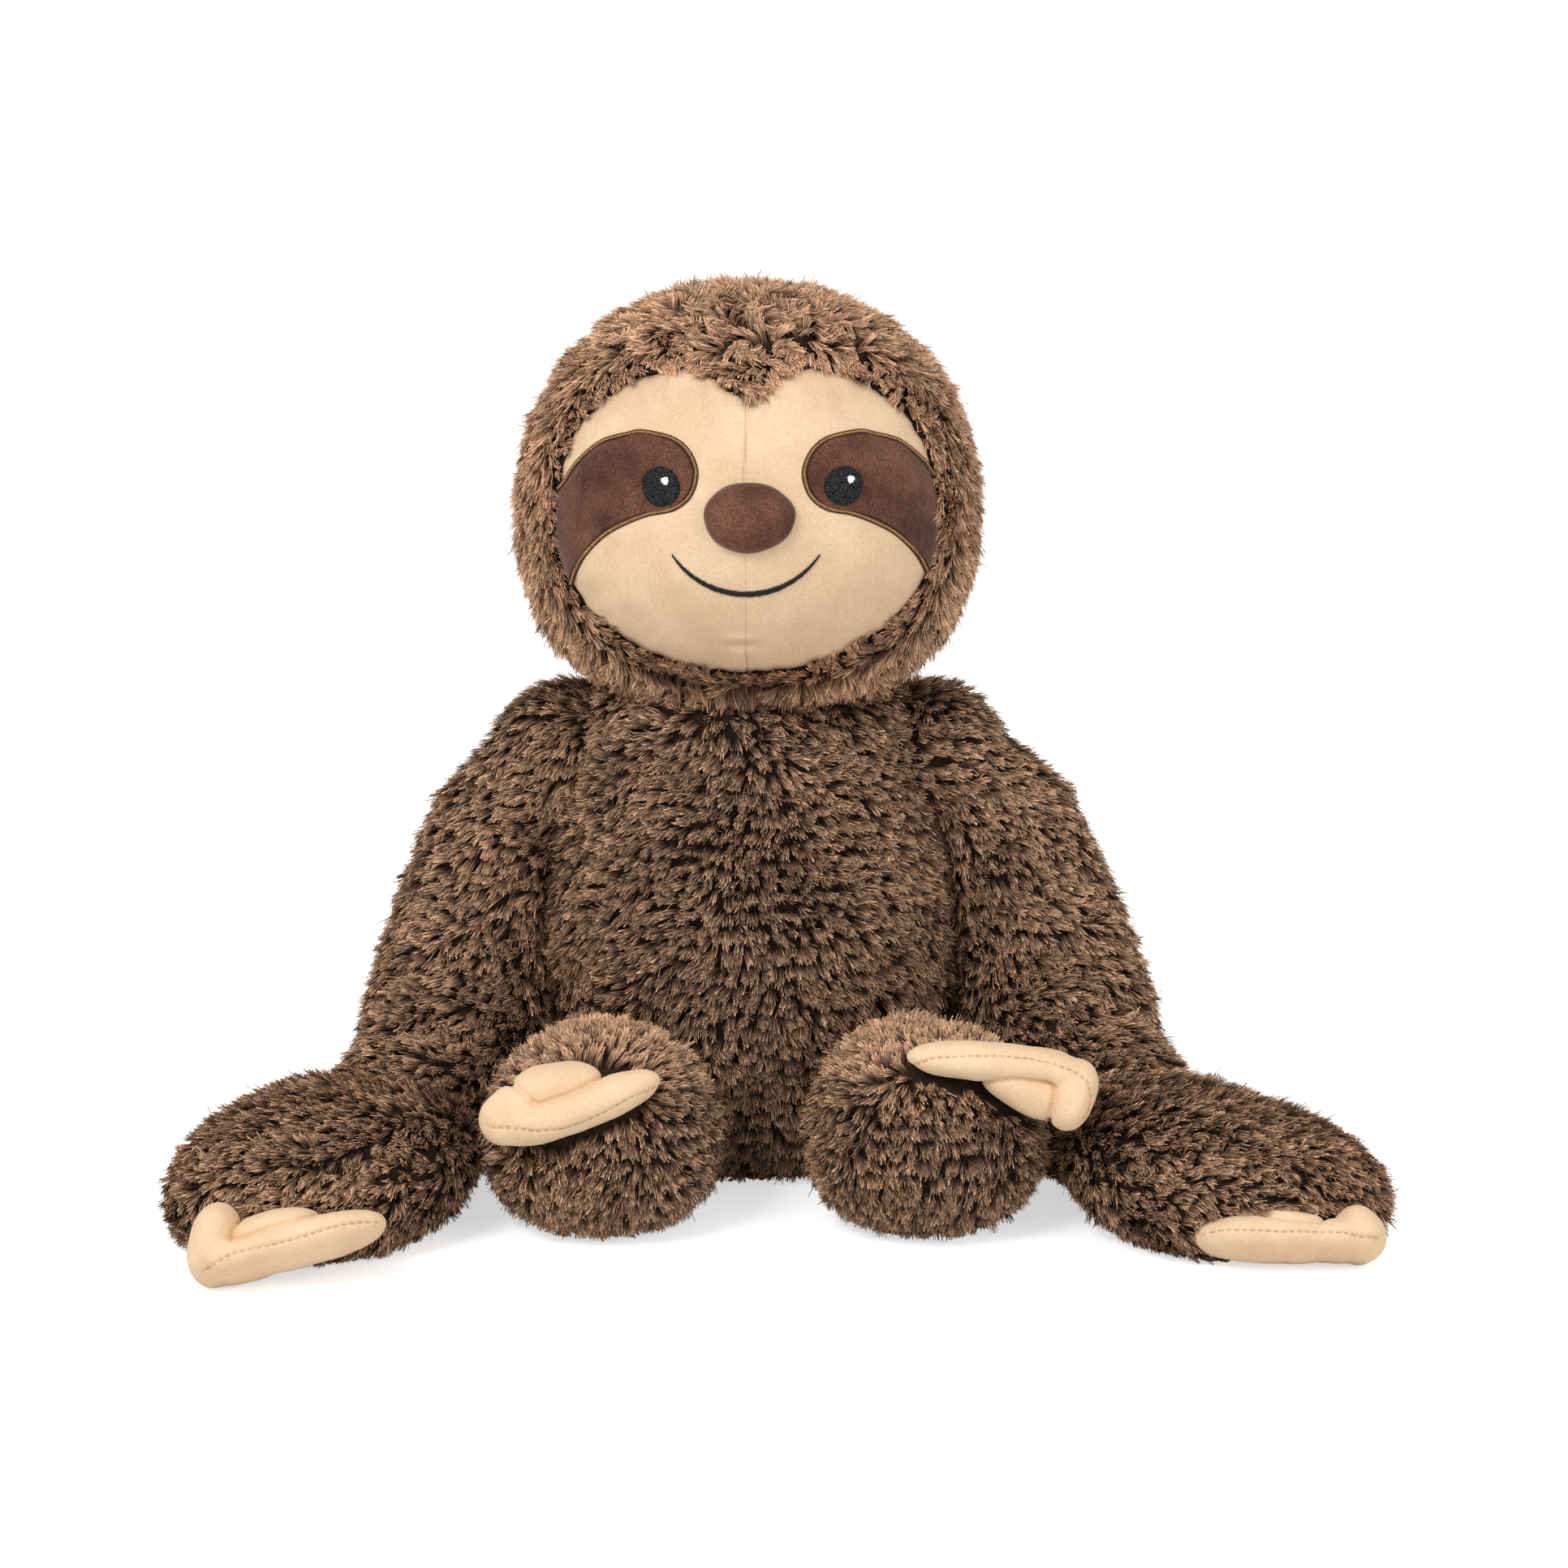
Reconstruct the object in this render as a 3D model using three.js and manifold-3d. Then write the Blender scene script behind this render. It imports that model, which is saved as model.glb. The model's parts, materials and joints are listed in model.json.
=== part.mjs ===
// A plush sloth that sits: fur fabric panels sewn round fibre stuffing. Millimetres, +Z up.
// The origin is the middle of the flat seat, on the seat panel's flat bottom.
// The toy looks along -Y, and +X is to its left.
// Names say left and right as they are seen from the front, facing the toy.
// Each stuffed form is a function of how far its surface is grown, so that a panel, its
// stuffing, its socket and whatever is sewn on it all follow the same sizes.

import * as THREE from "three";
import { mergeVertices } from "three/addons/utils/BufferGeometryUtils.js";
import Module from "manifold-3d";

const wasm = await Module();
wasm.setup();

// Cloth and clearances
const furBacking = 1.6;
const minkyThickness = 1.6;
const appliqueThickness = 0.9;
const seamGap = 0.3;
const jointGap = 0.5;
const floorCut = 0.5;
const overrun = 60;
const roundPower = 2;
const weldDistance = 0.0001;

// Torso
const torsoHalfWidth = 82;
const torsoHalfDepth = 70;
const torsoHeight = 208;
const sideSeamBack = 10;
const seatSeamHeight = 7;

// Head, sunk into the torso's top
const headHalfWidth = 87;
const headHalfDepth = 82;
const headHalfHeight = 81;
const headSink = 29;
const headCentreHeight = torsoHeight + headHalfHeight - headSink;
const headPower = 2.25;
const headTaperShare = 0.05;

// Face: a cushion that bulges forward out of the hood
const faceBulgeSideInset = 6;
const faceBulgeInset = 10;
const faceBulgeHalfWidth = headHalfWidth - faceBulgeSideInset;
const faceBulgeHalfDepth = headHalfDepth - faceBulgeInset;
const faceBulgeHalfHeight = headHalfHeight - faceBulgeInset;
const faceForward = 21;
const faceHalfWidth = 74;
const faceTop = 61;
const faceBottom = 55;
const faceTopPower = 2.5;
const faceBottomPower = 2.1;
const peakDrop = 13;
const peakHalfWidth = 15;
const faceDrop = 2;
const faceCentreHeight = headCentreHeight - faceDrop;

// Eyes, nose and mouth
const eyeOut = 33;
const eyeUp = 19;
const eyeRadius = 7;
const glintRadius = 1.5;
const glintOut = 2.1;
const glintUp = 1.8;
const patchBorder = 2;
const noseHalfWidth = 17;
const noseHalfHeight = 13;
const noseHalfDepth = 10;
const noseUp = 9.5;
const mouthHalfWidth = 27.5;
const mouthCornerDrop = 6.3;
const mouthSag = 13.3;
const mouthThread = 1.6;
const mouthEndThread = 0.5;

// Arms, from a round shoulder to a long hand that lies on the floor
const shoulderOut = 70;
const shoulderDrop = 50;
const shoulderHeight = torsoHeight - shoulderDrop;
const shoulderRadius = 29;
const armRadius = 33;
const handHalfLength = 60;
const handHalfWidth = 54;
const handHalfHeight = 29;
const handSink = 7;
const handCentreHeight = handHalfHeight - handSink;
const handSlopeDegrees = 10;
const leftHandOut = 158;
const leftHandForward = 109;
const leftHandYawDegrees = 30;
const rightHandOut = 176;
const rightHandForward = 109;
const rightHandYawDegrees = 15;

// Legs, from a round hip to a foot that stands on its heel
const hipOut = 46;
const hipForward = 40;
const hipHeight = 40;
const hipRadius = 30;
const legRadius = 31;
const legRaiseDegrees = 25;
const footHalfWidth = 43;
const footHalfDepth = 41;
const footHalfHeight = 38;
const footForward = 105;
const leftFootOut = 54;
const rightFootOut = 67;

// Claws: three fingers in one sewn piece on each paw
const clawHalfWidth = 36;
const footClawDepth = 11;
const handClawDepth = 17;

// Facet counts
const headSides = 18;
const headRings = 10;
const faceSides = 18;
const faceRings = 10;
const torsoSides = 18;
const ballSides = 12;
const ballRings = 6;
const tubeSides = 9;
const tubeSteps = 6;
const pawSides = 12;
const pawRings = 7;
const lobeSides = 10;
const lobeRings = 6;
const outlineSteps = 26;
const cupSides = 20;
const eyeSides = 12;

// Outlines and routes, as shares of the sizes that they follow
const torsoProfileShares = [
    [0.6, 0.0],
    [0.82, 0.03],
    [0.94, 0.12],
    [1.0, 0.27],
    [1.0, 0.41],
    [0.97, 0.55],
    [0.91, 0.69],
    [0.83, 0.81],
    [0.7, 0.91],
    [0.5, 0.975],
    [0.25, 1.0],
];
const patchOutlineShares = [
    [0.265, 0.36],
    [0.301, 0.25],
    [0.382, 0.175],
    [0.504, 0.138],
    [0.616, 0.079],
    [0.728, -0.01],
    [0.828, -0.156],
    [0.878, -0.28],
    [0.928, -0.44],
    [1.12, -0.5],
    [1.22, -0.1],
    [1.1, 0.2],
    [0.98, 0.225],
    [0.874, 0.403],
    [0.747, 0.538],
    [0.618, 0.593],
    [0.539, 0.615],
    [0.396, 0.592],
    [0.318, 0.536],
    [0.273, 0.45],
];
// Each row of the arm: out, forward, down and radius
const armRouteShares = [
    [0.0, 0.0, 0.0, 0.76],
    [0.14, 0.0, 0.05, 0.82],
    [0.26, 0.0, 0.19, 0.88],
    [0.37, 0.02, 0.42, 0.98],
    [0.46, 0.12, 0.65, 1.1],
    [0.53, 0.38, 0.86, 1.08],
    [0.76, 0.74, 0.97, 0.85],
    [1.0, 1.0, 1.0, 0.55],
];
// Each row of a claw: across, up, forward, half length, half width and tilt in degrees
const leftFootLobeShares = [
    [-0.15, 0.09, 0.0, 0.48, 0.25, 8],
    [0.1, -0.12, 0.1, 0.86, 0.225, 21],
    [-0.62, -0.19, 0.04, 0.34, 0.27, 40],
];
const rightFootLobeShares = [
    [0.0, 0.3, 0.1, 0.9, 0.205, -4],
    [0.3, 0.06, 0.0, 0.5, 0.26, -30],
    [0.79, 0.0, 0.06, 0.42, 0.24, 70],
];
const leftHandLobeShares = [
    [-0.72, -0.01, 0.06, 0.42, 0.25, 81],
    [-0.13, 0.1, 0.0, 0.5, 0.23, 15],
    [0.18, 0.0, 0.12, 0.84, 0.21, 15],
];
const rightHandLobeShares = [
    [-0.09, -0.03, 0.12, 0.81, 0.22, -2],
    [0.09, 0.07, 0.0, 0.47, 0.2, -8],
    [0.77, 0.03, 0.06, 0.29, 0.25, -50],
];

// Where each claw piece sits on its paw, as shares of the paw's half sizes, and its lean
const footClawUpShare = 0.6;
const leftFootClawForwardShare = 0.84;
const rightFootClawForwardShare = 0.7;
const leftFootClawOutShare = 0.22;
const rightFootClawOutShare = 0.56;
const footClawLeanDegrees = 14;
const handClawLeanDegrees = 32;
const leftHandClawOut = 6;
const leftHandClawForward = 66;
const rightHandClawOut = 19;
const rightHandClawForward = 46;

const degrees = Math.PI / 180;

// Solids from geometry, and back

function solidOf(geometry) {
    const bare = geometry.index ? geometry.toNonIndexed() : geometry.clone();
    bare.deleteAttribute("normal");
    bare.deleteAttribute("uv");
    const welded = mergeVertices(bare, weldDistance);
    const corners = welded.index.array;
    const kept = [];
    for (let i = 0; i < corners.length; i += 3) {
        const [a, b, c] = [corners[i], corners[i + 1], corners[i + 2]];
        if (a !== b && b !== c && c !== a) {
            kept.push(a, b, c);
        }
    }
    const mesh = new wasm.Mesh({
        numProp: 3,
        vertProperties: new Float32Array(welded.attributes.position.array),
        triVerts: new Uint32Array(kept),
    });
    return new wasm.Manifold(mesh);
}

function geometryOf(solid) {
    const mesh = solid.getMesh();
    const geometry = new THREE.BufferGeometry();
    const places = new Float32Array(mesh.vertProperties);
    geometry.setAttribute("position", new THREE.BufferAttribute(places, 3));
    geometry.setIndex(new THREE.BufferAttribute(new Uint32Array(mesh.triVerts), 1));
    geometry.computeVertexNormals();
    return geometry;
}

function joined(solids) {
    return solids.reduce((all, one) => all.add(one));
}

// Basic forms

// An ellipsoid whose power above 2 squares its shoulders; its poles lie along Z
function roundForm(halfX, halfY, halfZ, power, sides, rings) {
    const geometry = new THREE.SphereGeometry(1, sides, rings);
    geometry.rotateX(Math.PI / 2);
    const places = geometry.attributes.position;
    const point = new THREE.Vector3();
    for (let i = 0; i < places.count; i++) {
        point.fromBufferAttribute(places, i);
        const total = Math.abs(point.x) ** power + Math.abs(point.y) ** power + Math.abs(point.z) ** power;
        point.divideScalar(total ** (1 / power));
        places.setXYZ(i, point.x * halfX, point.y * halfY, point.z * halfZ);
    }
    return geometry;
}

// A ball with its poles along the axis that it turns about
function ball(radius, centre, axis) {
    const geometry = new THREE.SphereGeometry(radius, ballSides, ballRings);
    if (axis === "x") {
        geometry.rotateZ(Math.PI / 2);
    }
    geometry.translate(centre.x, centre.y, centre.z);
    return solidOf(geometry);
}

// The ball that leaves a running gap round another ball, facets included
function ballSocket(radius, centre, axis) {
    return ball((radius + jointGap) / Math.cos(Math.PI / ballSides), centre, axis);
}

// A tube of changing radius along a smooth route, with flat ends
function taperedTube(route, radii, grow) {
    const curve = new THREE.CatmullRomCurve3(route);
    const frames = curve.computeFrenetFrames(tubeSteps, false);
    const places = [];
    const faces = [];
    for (let i = 0; i <= tubeSteps; i++) {
        const share = i / tubeSteps;
        const centre = curve.getPointAt(share);
        const along = curve.getUtoTmapping(share) * (radii.length - 1);
        const before = Math.min(Math.floor(along), radii.length - 2);
        const radius = THREE.MathUtils.lerp(radii[before], radii[before + 1], along - before) + grow;
        for (let j = 0; j < tubeSides; j++) {
            const angle = (2 * Math.PI * j) / tubeSides;
            const point = centre.clone();
            point.addScaledVector(frames.normals[i], Math.cos(angle) * radius);
            point.addScaledVector(frames.binormals[i], Math.sin(angle) * radius);
            places.push(point.x, point.y, point.z);
        }
    }
    const first = places.length / 3;
    const last = first + 1;
    places.push(...route[0].toArray(), ...route[route.length - 1].toArray());
    for (let j = 0; j < tubeSides; j++) {
        const next = (j + 1) % tubeSides;
        for (let i = 0; i < tubeSteps; i++) {
            const near = i * tubeSides;
            const far = near + tubeSides;
            faces.push(near + j, near + next, far + next, near + j, far + next, far + j);
        }
        const end = tubeSteps * tubeSides;
        faces.push(first, next, j, last, end + j, end + next);
    }
    const geometry = new THREE.BufferGeometry();
    geometry.setAttribute("position", new THREE.Float32BufferAttribute(places, 3));
    geometry.setIndex(faces);
    return solidOf(geometry);
}

// An outline in X and Z, pushed through the toy along Y
function prismAlongY(outline, front, back) {
    const geometry = new THREE.ExtrudeGeometry(new THREE.Shape(outline), {
        depth: back - front,
        bevelEnabled: false,
    });
    geometry.rotateX(Math.PI / 2);
    geometry.translate(0, back, 0);
    return solidOf(geometry);
}

// An outline in Y and Z, pushed through the toy along X
function prismAlongX(outline, halfWidth) {
    const geometry = new THREE.ExtrudeGeometry(new THREE.Shape(outline), {
        depth: 2 * halfWidth,
        bevelEnabled: false,
    });
    geometry.translate(0, 0, -halfWidth);
    const turn = new THREE.Matrix4().makeBasis(
        new THREE.Vector3(0, 1, 0),
        new THREE.Vector3(0, 0, 1),
        new THREE.Vector3(1, 0, 0),
    );
    geometry.applyMatrix4(turn);
    return solidOf(geometry);
}

function block(low, high) {
    const size = high.clone().sub(low);
    const geometry = new THREE.BoxGeometry(size.x, size.y, size.z);
    const middle = low.clone().add(high).multiplyScalar(1 / 2);
    geometry.translate(middle.x, middle.y, middle.z);
    return solidOf(geometry);
}

// Every point of a closed outline moved outwards, square to the line through its neighbours
function offsetOutline(outline, distance) {
    const area = THREE.ShapeUtils.area(outline);
    const turn = Math.sign(area);
    return outline.map((point, i) => {
        const before = outline[(i + outline.length - 1) % outline.length];
        const after = outline[(i + 1) % outline.length];
        const side = after.clone().sub(before).normalize();
        return new THREE.Vector2(point.x + side.y * turn * distance, point.y - side.x * turn * distance);
    });
}

// Reach of the toy, which every cutting block exceeds
const reach = rightHandOut + handHalfLength + overrun;
const topReach = headCentreHeight + headHalfHeight + overrun;

function aboveFloor(solid, height) {
    const low = new THREE.Vector3(-reach, -reach, -overrun);
    const high = new THREE.Vector3(reach, reach, height);
    return solid.subtract(block(low, high));
}

// Keeps what lies on one side of the plane x = 0, half a seam away from it
function sideOf(solid, side) {
    const near = (side * seamGap) / 2;
    const far = side * reach;
    const low = new THREE.Vector3(Math.min(near, far), -reach, -overrun);
    const high = new THREE.Vector3(Math.max(near, far), reach, topReach);
    return solid.intersect(block(low, high));
}

// Head forms

// The head is wider at its cheeks than at its crown; height is a share of its half height
function headTaper(height) {
    return 1 - headTaperShare * height;
}

function headForm(grow) {
    const geometry = roundForm(
        headHalfWidth + grow,
        headHalfDepth + grow,
        headHalfHeight + grow,
        headPower,
        headSides,
        headRings,
    );
    const places = geometry.attributes.position;
    for (let i = 0; i < places.count; i++) {
        places.setX(i, places.getX(i) * headTaper(places.getZ(i) / headHalfHeight));
    }
    geometry.translate(0, 0, headCentreHeight);
    return solidOf(geometry);
}

function faceForm(grow) {
    const geometry = roundForm(
        faceBulgeHalfWidth + grow,
        faceBulgeHalfDepth + grow,
        faceBulgeHalfHeight + grow,
        roundPower,
        faceSides,
        faceRings,
    );
    geometry.translate(0, -faceForward, headCentreHeight);
    return solidOf(geometry);
}

// The face's outline: a squared oval with a widow's peak at its top
function faceOutline() {
    const outline = [];
    for (let i = 0; i < outlineSteps; i++) {
        const angle = (2 * Math.PI * i) / outlineSteps;
        const up = Math.sin(angle) >= 0;
        const power = up ? faceTopPower : faceBottomPower;
        const x = faceHalfWidth * Math.sign(Math.cos(angle)) * Math.abs(Math.cos(angle)) ** (2 / power);
        let z = (up ? faceTop : -faceBottom) * Math.abs(Math.sin(angle)) ** (2 / power);
        if (up) {
            z -= peakDrop * Math.exp(-((x / peakHalfWidth) ** 2));
        }
        outline.push(new THREE.Vector2(x, faceCentreHeight + z));
    }
    return outline;
}

const faceFront = -(faceForward + faceBulgeHalfDepth + overrun);
const faceBack = -faceForward;

function facePrism(grow) {
    return prismAlongY(offsetOutline(faceOutline(), grow), faceFront, faceBack);
}

// A layer that lies on the face between two heights over its surface, cut to an outline
function onFace(outline, low, high) {
    const layer = faceForm(high).subtract(faceForm(low));
    return layer.intersect(prismAlongY(outline, faceFront, faceBack));
}

function smoothOutline(shares, side) {
    const points = shares.map(([out, up]) => {
        const height = up > 0 ? faceTop : faceBottom;
        return new THREE.Vector3(side * out * faceHalfWidth, faceCentreHeight + up * height, 0);
    });
    const curve = new THREE.CatmullRomCurve3(points, true);
    const spaced = curve.getSpacedPoints(outlineSteps).slice(0, outlineSteps);
    return spaced.map((point) => new THREE.Vector2(point.x, point.y));
}

function circleOutline(x, z, radius) {
    return new THREE.EllipseCurve(x, z, radius, radius).getPoints(eyeSides).slice(0, eyeSides);
}

// The mouth: an arc of thread, thick in the middle and thin at its corners
function mouthOutline() {
    const radius = (mouthHalfWidth ** 2 + mouthSag ** 2) / (2 * mouthSag);
    const spread = Math.asin(mouthHalfWidth / radius);
    const centre = faceCentreHeight - mouthCornerDrop - mouthSag + radius;
    const steps = eyeSides;
    const lower = [];
    const upper = [];
    for (let i = 0; i <= steps; i++) {
        const share = (2 * i) / steps - 1;
        const angle = share * spread;
        const thread = THREE.MathUtils.lerp(mouthThread, mouthEndThread, share ** 2);
        const outer = radius + thread / 2;
        const inner = radius - thread / 2;
        lower.push(new THREE.Vector2(Math.sin(angle) * outer, centre - Math.cos(angle) * outer));
        upper.unshift(new THREE.Vector2(Math.sin(angle) * inner, centre - Math.cos(angle) * inner));
    }
    return [...lower, ...upper];
}

// Torso forms

function torsoForm(grow) {
    const radii = torsoProfileShares.map(([wide, high]) => {
        return new THREE.Vector3(wide * torsoHalfWidth, high * torsoHeight - floorCut, 0);
    });
    const steps = torsoProfileShares.length;
    const smooth = new THREE.CatmullRomCurve3(radii).getSpacedPoints(steps);
    const bottom = -floorCut - grow;
    const top = torsoHeight + grow;
    const profile = smooth.map((point) => {
        return new THREE.Vector2(point.x + grow, THREE.MathUtils.clamp(point.y, bottom, top));
    });
    profile[0].y = bottom;
    profile[profile.length - 1].y = top;
    profile.unshift(new THREE.Vector2(0, bottom));
    profile.push(new THREE.Vector2(0, top));
    const geometry = new THREE.LatheGeometry(profile, torsoSides);
    geometry.rotateX(Math.PI / 2);
    geometry.scale(1, (torsoHalfDepth + grow) / (torsoHalfWidth + grow), 1);
    return solidOf(geometry);
}

// The hollow in the torso's top: everything that the turning head can reach, and a gap
function neckCup() {
    const corner = 2 ** (1 / 2 - 1 / headPower) * headTaper(-1);
    const wide = (headHalfWidth * corner + jointGap) / Math.cos(Math.PI / cupSides);
    const tall = headHalfHeight + jointGap;
    const profile = [];
    const half = headRings;
    for (let i = 0; i <= half; i++) {
        const angle = (Math.PI * i) / half - Math.PI / 2;
        const x = Math.max(Math.cos(angle), 0);
        const z = Math.sin(angle);
        const size = (x ** headPower + Math.abs(z) ** headPower) ** (1 / headPower);
        profile.push(new THREE.Vector2((x / size) * wide, (z / size) * tall));
    }
    profile[0].x = 0;
    profile[half].x = 0;
    const geometry = new THREE.LatheGeometry(profile, cupSides);
    geometry.rotateX(Math.PI / 2);
    geometry.translate(0, 0, headCentreHeight);
    return solidOf(geometry);
}

// Limb places: side is -1 for left and 1 for right

function shoulderOf(side) {
    return new THREE.Vector3(side * shoulderOut, 0, shoulderHeight);
}

function handOf(side) {
    const out = side < 0 ? leftHandOut : rightHandOut;
    const forward = side < 0 ? leftHandForward : rightHandForward;
    return new THREE.Vector3(side * out, -forward, handCentreHeight);
}

function hipOf(side) {
    return new THREE.Vector3(side * hipOut, -hipForward, hipHeight);
}

function footOf(side) {
    const out = side < 0 ? leftFootOut : rightFootOut;
    return new THREE.Vector3(side * out, -footForward, footHalfHeight - floorCut);
}

// Arms

// The hand slopes down to its tip; the floor presses its underside flat
function handForm(side, grow) {
    const geometry = roundForm(
        handHalfLength + grow,
        handHalfWidth + grow,
        handHalfHeight + grow,
        roundPower,
        pawSides,
        pawRings,
    );
    const yaw = side < 0 ? leftHandYawDegrees : rightHandYawDegrees;
    geometry.rotateY(side * handSlopeDegrees * degrees);
    geometry.rotateZ(-side * yaw * degrees);
    const centre = handOf(side);
    geometry.translate(centre.x, centre.y, centre.z);
    return solidOf(geometry);
}

function armRoute(side) {
    const start = shoulderOf(side);
    const end = handOf(side);
    return armRouteShares.map(([out, forward, down]) => {
        return new THREE.Vector3(
            THREE.MathUtils.lerp(start.x, end.x, out),
            THREE.MathUtils.lerp(start.y, end.y, forward),
            THREE.MathUtils.lerp(start.z, end.z, down),
        );
    });
}

function armForm(side, grow) {
    const radii = armRouteShares.map((row) => row[3] * armRadius);
    const sleeve = taperedTube(armRoute(side), radii, grow);
    return sleeve.add(handForm(side, grow));
}

// The whole arm, grown or shrunk, kept clear of the torso, the leg and the floor
function armSolid(side, grow) {
    const apart = jointGap - grow;
    let arm = armForm(side, grow).subtract(torsoForm(apart));
    for (const angle of legAngles()) {
        arm = arm.subtract(turnedLeg(footForm(side, apart), side, angle));
    }
    arm = arm.add(ball(shoulderRadius + grow, shoulderOf(side), "y"));
    return aboveFloor(arm, -grow);
}

// The sheet that parts the arm's front panel from its back panel follows the arm's route
function armFrontRegion(side, shift) {
    const route = armRoute(side);
    const outline = [new THREE.Vector2(0, topReach)];
    route.forEach((point) => outline.push(new THREE.Vector2(point.y, point.z)));
    const end = outline[outline.length - 1];
    outline.push(new THREE.Vector2(-reach, end.y));
    outline.push(new THREE.Vector2(-reach, topReach));
    const moved = outline.map((point) => new THREE.Vector2(point.x + shift, point.y - shift));
    return prismAlongX(moved, reach);
}

// Legs

function footForm(side, grow) {
    const geometry = roundForm(
        footHalfWidth + grow,
        footHalfDepth + grow,
        footHalfHeight + grow,
        roundPower,
        pawSides,
        pawRings,
    );
    const centre = footOf(side);
    geometry.translate(centre.x, centre.y, centre.z);
    return solidOf(geometry);
}

function legForm(side, grow) {
    const route = [hipOf(side), hipOf(side).lerp(footOf(side), 1 / 2), footOf(side)];
    const sleeve = taperedTube(route, [legRadius, legRadius, legRadius], grow);
    return sleeve.add(footForm(side, grow));
}

function legAngles() {
    return [0, legRaiseDegrees / 2, legRaiseDegrees];
}

// Turns a solid about the hip as the raised leg turns, by an angle in degrees
function turnedLeg(solid, side, angle) {
    const hip = hipOf(side);
    return solid
        .translate([-hip.x, -hip.y, -hip.z])
        .rotate([-angle, 0, 0])
        .translate([hip.x, hip.y, hip.z]);
}

// The whole leg, kept clear of the torso at every height that it can be raised to
function legSolid(side, grow) {
    let leg = legForm(side, grow);
    for (const angle of legAngles()) {
        leg = leg.subtract(turnedLeg(torsoForm(jointGap - grow), side, -angle));
    }
    leg = leg.add(ball(hipRadius + grow, hipOf(side), "x"));
    return aboveFloor(leg, -grow);
}

// Claws

function clawPlace(side, paw) {
    if (paw === "foot") {
        const centre = footOf(side);
        const outShare = side < 0 ? leftFootClawOutShare : rightFootClawOutShare;
        const forwardShare = side < 0 ? leftFootClawForwardShare : rightFootClawForwardShare;
        centre.x += side * outShare * footHalfWidth;
        centre.y -= forwardShare * footHalfDepth;
        centre.z += footClawUpShare * footHalfHeight;
        return centre;
    }
    const centre = handOf(side);
    centre.x += side * (side < 0 ? leftHandClawOut : rightHandClawOut);
    centre.y -= side < 0 ? leftHandClawForward : rightHandClawForward;
    return centre;
}

function clawLobe([across, up, forward, long, wide, tilt], place, lean, depth) {
    const geometry = roundForm(
        long * clawHalfWidth,
        depth,
        wide * clawHalfWidth,
        roundPower,
        lobeSides,
        lobeRings,
    );
    geometry.rotateY(-tilt * degrees);
    geometry.translate(across * clawHalfWidth, -forward * clawHalfWidth, up * clawHalfWidth);
    geometry.rotateX(-lean * degrees);
    geometry.translate(place.x, place.y, place.z);
    return solidOf(geometry);
}

// Hand claws lie on the floor and are pressed flat where they touch it
function claws(side, paw) {
    const shares = {
        foot: side < 0 ? leftFootLobeShares : rightFootLobeShares,
        hand: side < 0 ? leftHandLobeShares : rightHandLobeShares,
    };
    const place = clawPlace(side, paw);
    const lean = paw === "foot" ? footClawLeanDegrees : handClawLeanDegrees;
    const depth = paw === "foot" ? footClawDepth : handClawDepth;
    let fingers = joined(shares[paw].map((row) => clawLobe(row, place, lean, depth)));
    if (paw === "hand") {
        fingers = fingers.translate([0, 0, -floorCut - fingers.boundingBox().min[2]]);
    }
    const carrier = paw === "foot" ? legForm(side, seamGap) : armForm(side, seamGap);
    return aboveFloor(fingers.subtract(carrier), 0);
}

// Materials

function cloth(colour, roughness) {
    return new THREE.MeshStandardMaterial({ color: colour, roughness, metalness: 0 });
}

const brownFur = cloth(0x7d624b, 0.95);
const beigeMinky = cloth(0xf0d2aa, 0.85);
const brownMinky = cloth(0x5f3c2d, 0.8);
const blackThread = cloth(0x151517, 0.5);
const whiteThread = cloth(0xf5f5f2, 0.5);
const goldThread = cloth(0x8a6432, 0.5);
const whiteFibre = cloth(0xeeeeea, 0.95);

const toy = new THREE.Group();

function place(parent, name, solid, material) {
    const mesh = new THREE.Mesh(geometryOf(solid), material);
    mesh.name = name;
    parent.add(mesh);
}

const sides = [
    [-1, "left"],
    [1, "right"],
];

function buildHead() {
    const head = new THREE.Group();
    const hood = headForm(0).subtract(headForm(-furBacking)).subtract(facePrism(2 * seamGap));
    const face = onFace(offsetOutline(faceOutline(), -seamGap / 2), -minkyThickness, 0);
    const clothInset = -(furBacking + seamGap);
    const behindFace = faceForm(clothInset).intersect(facePrism(seamGap));
    const stuffing = headForm(clothInset).subtract(facePrism(seamGap / 2)).add(behindFace);
    place(head, "head_stuffing", stuffing, whiteFibre);
    for (const [side, word] of sides) {
        place(head, `${word}_hood_panel`, sideOf(hood, side), brownFur);
        place(head, `${word}_face_panel`, sideOf(face, side), beigeMinky);
        addEye(head, side, word);
    }
    addNose(head);
    place(head, "mouth_stitching", onFace(mouthOutline(), seamGap, appliqueThickness), blackThread);
    toy.add(head);
}

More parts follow.
